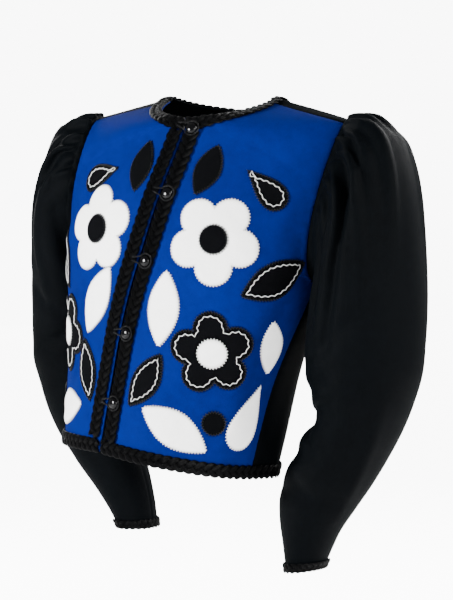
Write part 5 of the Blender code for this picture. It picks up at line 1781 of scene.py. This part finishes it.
def front_frame(from_edge, drop):
    """Place on the left front near its edge, its normal, and the directions across and up."""
    up = UP_NECK_FRONT * (1 - drop / (-NECK_DROP_FRONT - HEM_FRONT))
    row = body_point("front", "left", np.array([0.0, ACROSS_SHARE]), up)
    across = unit(row[1] - row[0])
    above = body_point("front", "left", np.array([0.0]), np.array([up + UP_SHARE]))[0] - row[0]
    normal = body_normal("front", "left", np.array([ACROSS_SHARE]), np.array([up]))[0]
    above = unit(above - across * np.dot(above, across))
    return row[0] + across * from_edge, normal, across, above


def turned_rings(profile, rounds=2):
    """Profile with more points, smoothed between the given ones."""
    rows = np.array([(t.radius, t.height) for t in profile])
    at = np.linspace(0, len(rows) - 1, (len(rows) - 1) * rounds + 1)
    return smooth_curve(np.arange(len(rows), dtype=float), rows, at)


def make_button(number, drop):
    edge, outward, across, _ = front_frame(BUTTON_FROM_EDGE, drop)
    spot, normal = on_cloth(FRONT_CLOTH["left"], edge, outward)
    side = unit(across - normal * np.dot(across, normal))
    above = np.cross(normal, side)
    middle = spot + normal * (BRAID_TOP + BUTTON_THICKNESS * BUTTON_SEAT)
    rings = turned_rings(BUTTON_PROFILE)
    columns = BUTTON_COLUMNS
    verts, faces = [tuple(middle + normal * rings[0][1] * BUTTON_THICKNESS)], []
    for radius, height in rings[1:-1]:
        for angle in np.linspace(0, 2 * math.pi, columns, endpoint=False):
            spoke = side * math.cos(angle) + above * math.sin(angle)
            verts.append(tuple(middle + spoke * radius * BUTTON_RADIUS + normal * height * BUTTON_THICKNESS))
    verts.append(tuple(middle + normal * rings[-1][1] * BUTTON_THICKNESS))
    last_ring = 1 + (len(rings) - 3) * columns
    for c in range(columns):
        following = (c + 1) % columns
        faces.append((0, 1 + following, 1 + c))
        faces.append((len(verts) - 1, last_ring + c, last_ring + following))
        for r in range(len(rings) - 3):
            a, b = 1 + r * columns, 1 + (r + 1) * columns
            faces.append((a + c, a + following, b + following, b + c))
    mesh = bpy.data.meshes.new(f"button_{number}_dome")
    mesh.from_pydata(verts, [], faces)
    mesh.shade_smooth()
    mesh.materials.append(LOOKS["black_button"])
    if signed_volume(mesh) < 0:
        mesh.flip_normals()
    settle(add_object(mesh.name, mesh), "black_button", f"button_{number}")


for number, drop in enumerate(BUTTON_DROPS, 1):
    make_button(number, drop)

# %% [markdown]
# Satin cord loops come out from the right front's edge and close round the buttons. The cord is two plies
# twisted together, which a tree makes from one path, as it made the plait from three.

# %% Node tree of the twisted cord, and the loops
PLIES = 2
PLY_SWING, PLY_WIDTH = 0.45, 1.15


def cord_tree(sides=10):
    """Two plies twisted round each path."""
    tree, given, result = new_tree("two_ply_cord", {
        "Radius": ("Float", 0.0011), "Twist": ("Float", 0.0044), "Step": ("Float", 0.0005),
        "Material": ("Material", None)})
    g = given.outputs
    path = place(tree, "GeometryNodeMeshToCurve", {"Mesh": g["Geometry"]}, mode="EDGES").outputs[0]
    fine = place(tree, "GeometryNodeResampleCurve", {"Curve": path, "Length": g["Step"]}, mode="LENGTH")
    copies = place(tree, "GeometryNodeDuplicateElements", {"Geometry": fine.outputs[0], "Amount": PLIES},
                   domain="SPLINE")
    length = place(tree, "GeometryNodeSplineParameter").outputs["Length"]
    own = calc(tree, "DIVIDE", copies.outputs["Duplicate Index"], float(PLIES))
    turns = calc(tree, "ADD", calc(tree, "DIVIDE", length, g["Twist"]), own)
    phase = calc(tree, "MULTIPLY", turns, 2 * math.pi)
    swing = calc(tree, "MULTIPLY", g["Radius"], PLY_SWING)
    out, side = path_frame(tree)
    across = calc(tree, "MULTIPLY", calc(tree, "COSINE", phase), swing)
    height = calc(tree, "MULTIPLY", calc(tree, "SINE", phase), swing)
    shift = vector_calc(tree, "ADD", vector_calc(tree, "SCALE", side, scale=across),
                        vector_calc(tree, "SCALE", out, scale=height))
    twisted = place(tree, "GeometryNodeSetPosition", {"Geometry": copies.outputs[0],
                                                      "Offset": shift}).outputs[0]
    ply = calc(tree, "MULTIPLY", g["Radius"], PLY_WIDTH)
    profile = oval_profile(tree, ply, ply, sides, 1, 0.0)
    tree.links.new(sweep(tree, twisted, profile, out, g["Material"]), result.inputs[0])
    return tree


CORD = cord_tree()
LOOP_CORD_RADIUS = 0.0011
LOOP_RADIUS = 0.0088
LOOP_BASE = 0.0040
LOOP_ARC, LOOP_POINTS = 150, 41

# A loop's two legs, from the braid to the arc: how far each place is from the front edge, and half the gap
LEG_REACH = (0.009, 0.006, 0.003)
LEG_HALF_GAP = (0.0021, 0.0024, 0.0031)


def loop_path(drop):
    """Path of a loop over the braids: out of the right front's edge, round the button and back."""
    edge, outward, across, above = front_frame(BUTTON_FROM_EDGE, drop)
    middle, normal = on_cloth(BODY_CLOTH, edge, outward)
    leg = [(-(BUTTON_FROM_EDGE + reach), gap) for reach, gap in zip(LEG_REACH, LEG_HALF_GAP)]
    arc = np.radians(np.linspace(LOOP_ARC, -LOOP_ARC, LOOP_POINTS))
    flat = leg + [(LOOP_RADIUS * math.cos(a), LOOP_RADIUS * math.sin(a)) for a in arc]
    flat += [(right, -gap) for right, gap in reversed(leg)]
    spots, normals = [], []
    for right, up in flat:
        spot, facing = on_cloth(BODY_CLOTH, middle + across * right + above * up, normal)
        spots.append(spot + facing * (LOOP_BASE + LOOP_CORD_RADIUS))
        normals.append(facing)
    return np.array(spots), unit(smoothed(normals, False)), False


for number, drop in enumerate(BUTTON_DROPS, 1):
    loop = grow(path_object(f"loop_{number}_cord", [loop_path(drop)]), CORD, {
        "Radius": LOOP_CORD_RADIUS, "Twist": 0.0044, "Step": 0.0006, "Material": LOOKS["satin_cord"]})
    settle(loop, "satin_cord", f"button_loop_{number}")

# %% [markdown]
# Each sleeve's fine surface is worked out once more here, and nothing is done with it.


for side in SIDES:
    tube = fine_sleeve(side)[0]

# %% [markdown]
# The set is a plain pale floor, far enough below to take no hard shadow, under a pale sky. Only the camera
# sees both as white: a Light Path node keeps that brightness from washing out the black cloth.

# %% Floor and sky
FLOOR_HEIGHT = -0.85
FLOOR_REACH = 30
SKY_LIGHT = 0.36
SEEN_WHITE = 9.0
floor_mesh = bpy.data.meshes.new("floor")
floor_corners = ((-1, -1), (1, -1), (1, 1), (-1, 1))
floor_mesh.from_pydata([(x * FLOOR_REACH, y * FLOOR_REACH, FLOOR_HEIGHT) for x, y in floor_corners], [],
                       [(0, 1, 2, 3)])
floor = add_object("floor", floor_mesh)
floor_material, floor_tree, floor_shader = new_material("pale_floor")
floor_shader.inputs["Base Color"].default_value = (0.92, 0.92, 0.92, 1)
floor_shader.inputs["Roughness"].default_value = 0.95
floor_shader.inputs["Emission Color"].default_value = (1, 1, 1, 1)
seen = floor_tree.nodes.new("ShaderNodeLightPath").outputs["Is Camera Ray"]
glow = math_node(floor_tree, "MULTIPLY", seen, SEEN_WHITE)
floor_tree.links.new(glow, floor_shader.inputs["Emission Strength"])
floor_mesh.materials.append(floor_material)

world = bpy.data.worlds.new("pale_sky")
bpy.context.scene.world = world
world.use_nodes = True
sky = world.node_tree.nodes["Background"]
sky.inputs["Color"].default_value = (1, 1, 1, 1)
seen = world.node_tree.nodes.new("ShaderNodeLightPath").outputs["Is Camera Ray"]
strength = math_node(world.node_tree, "MULTIPLY_ADD", seen, SEEN_WHITE - SKY_LIGHT, SKY_LIGHT)
world.node_tree.links.new(strength, sky.inputs["Strength"])
print("floor at", FLOOR_HEIGHT, "m")

# %% [markdown]
# A large soft light stands low at the front left, a weaker one fills the right, two at the sides draw a
# light line down the dark sleeves, and one lights the back.

# %% Lights
AIM = (0.0, 0.0, -0.25)


def soft_light(name, position, target, size, power):
    data = bpy.data.lights.new(name, "AREA")
    data.shape = "RECTANGLE"
    data.size, data.size_y = size
    data.energy = power
    lamp = add_object(name, data)
    lamp.location = position
    lamp.rotation_euler = (Vector(target) - Vector(position)).to_track_quat("-Z", "Y").to_euler()


soft_light("key", (-1.0, -2.2, 0.15), AIM, (0.8, 0.8), 225)
soft_light("fill", (2.3, -1.5, 0.1), AIM, (1.2, 1.2), 55)
soft_light("rim_left", (-1.9, 1.2, 0.8), AIM, (0.6, 1.6), 40)
soft_light("back", (0.3, 2.5, 1.3), AIM, (1.2, 1.2), 90)
soft_light("rim_right", (2.4, 0.5, 0.5), AIM, (0.5, 1.6), 130)
print("lights:", len(bpy.data.lights))

# %% [markdown]
# The camera stands level with the jacket, far off and about thirty degrees round to its left, as in a shop
# photograph.

# %% Camera
VIEW_ANGLE = math.radians(31)
DISTANCE = 2.15
RIGHT_SHIFT, DOWN_SHIFT = 0.0056, 0.00375
SENSOR, LENS = 36.0, 103.2
camera_data = bpy.data.cameras.new("camera")
camera_data.sensor_fit = "VERTICAL"
camera_data.sensor_height = SENSOR
camera_data.lens = LENS
camera = add_object("camera", camera_data)
camera.location = (math.sin(VIEW_ANGLE) * DISTANCE + math.cos(VIEW_ANGLE) * RIGHT_SHIFT,
                   -math.cos(VIEW_ANGLE) * DISTANCE + math.sin(VIEW_ANGLE) * RIGHT_SHIFT,
                   AIM[2] - DOWN_SHIFT)
camera.rotation_euler = (math.pi / 2, 0, VIEW_ANGLE)
bpy.context.scene.camera = camera
print("camera at", [round(v, 3) for v in camera.location])
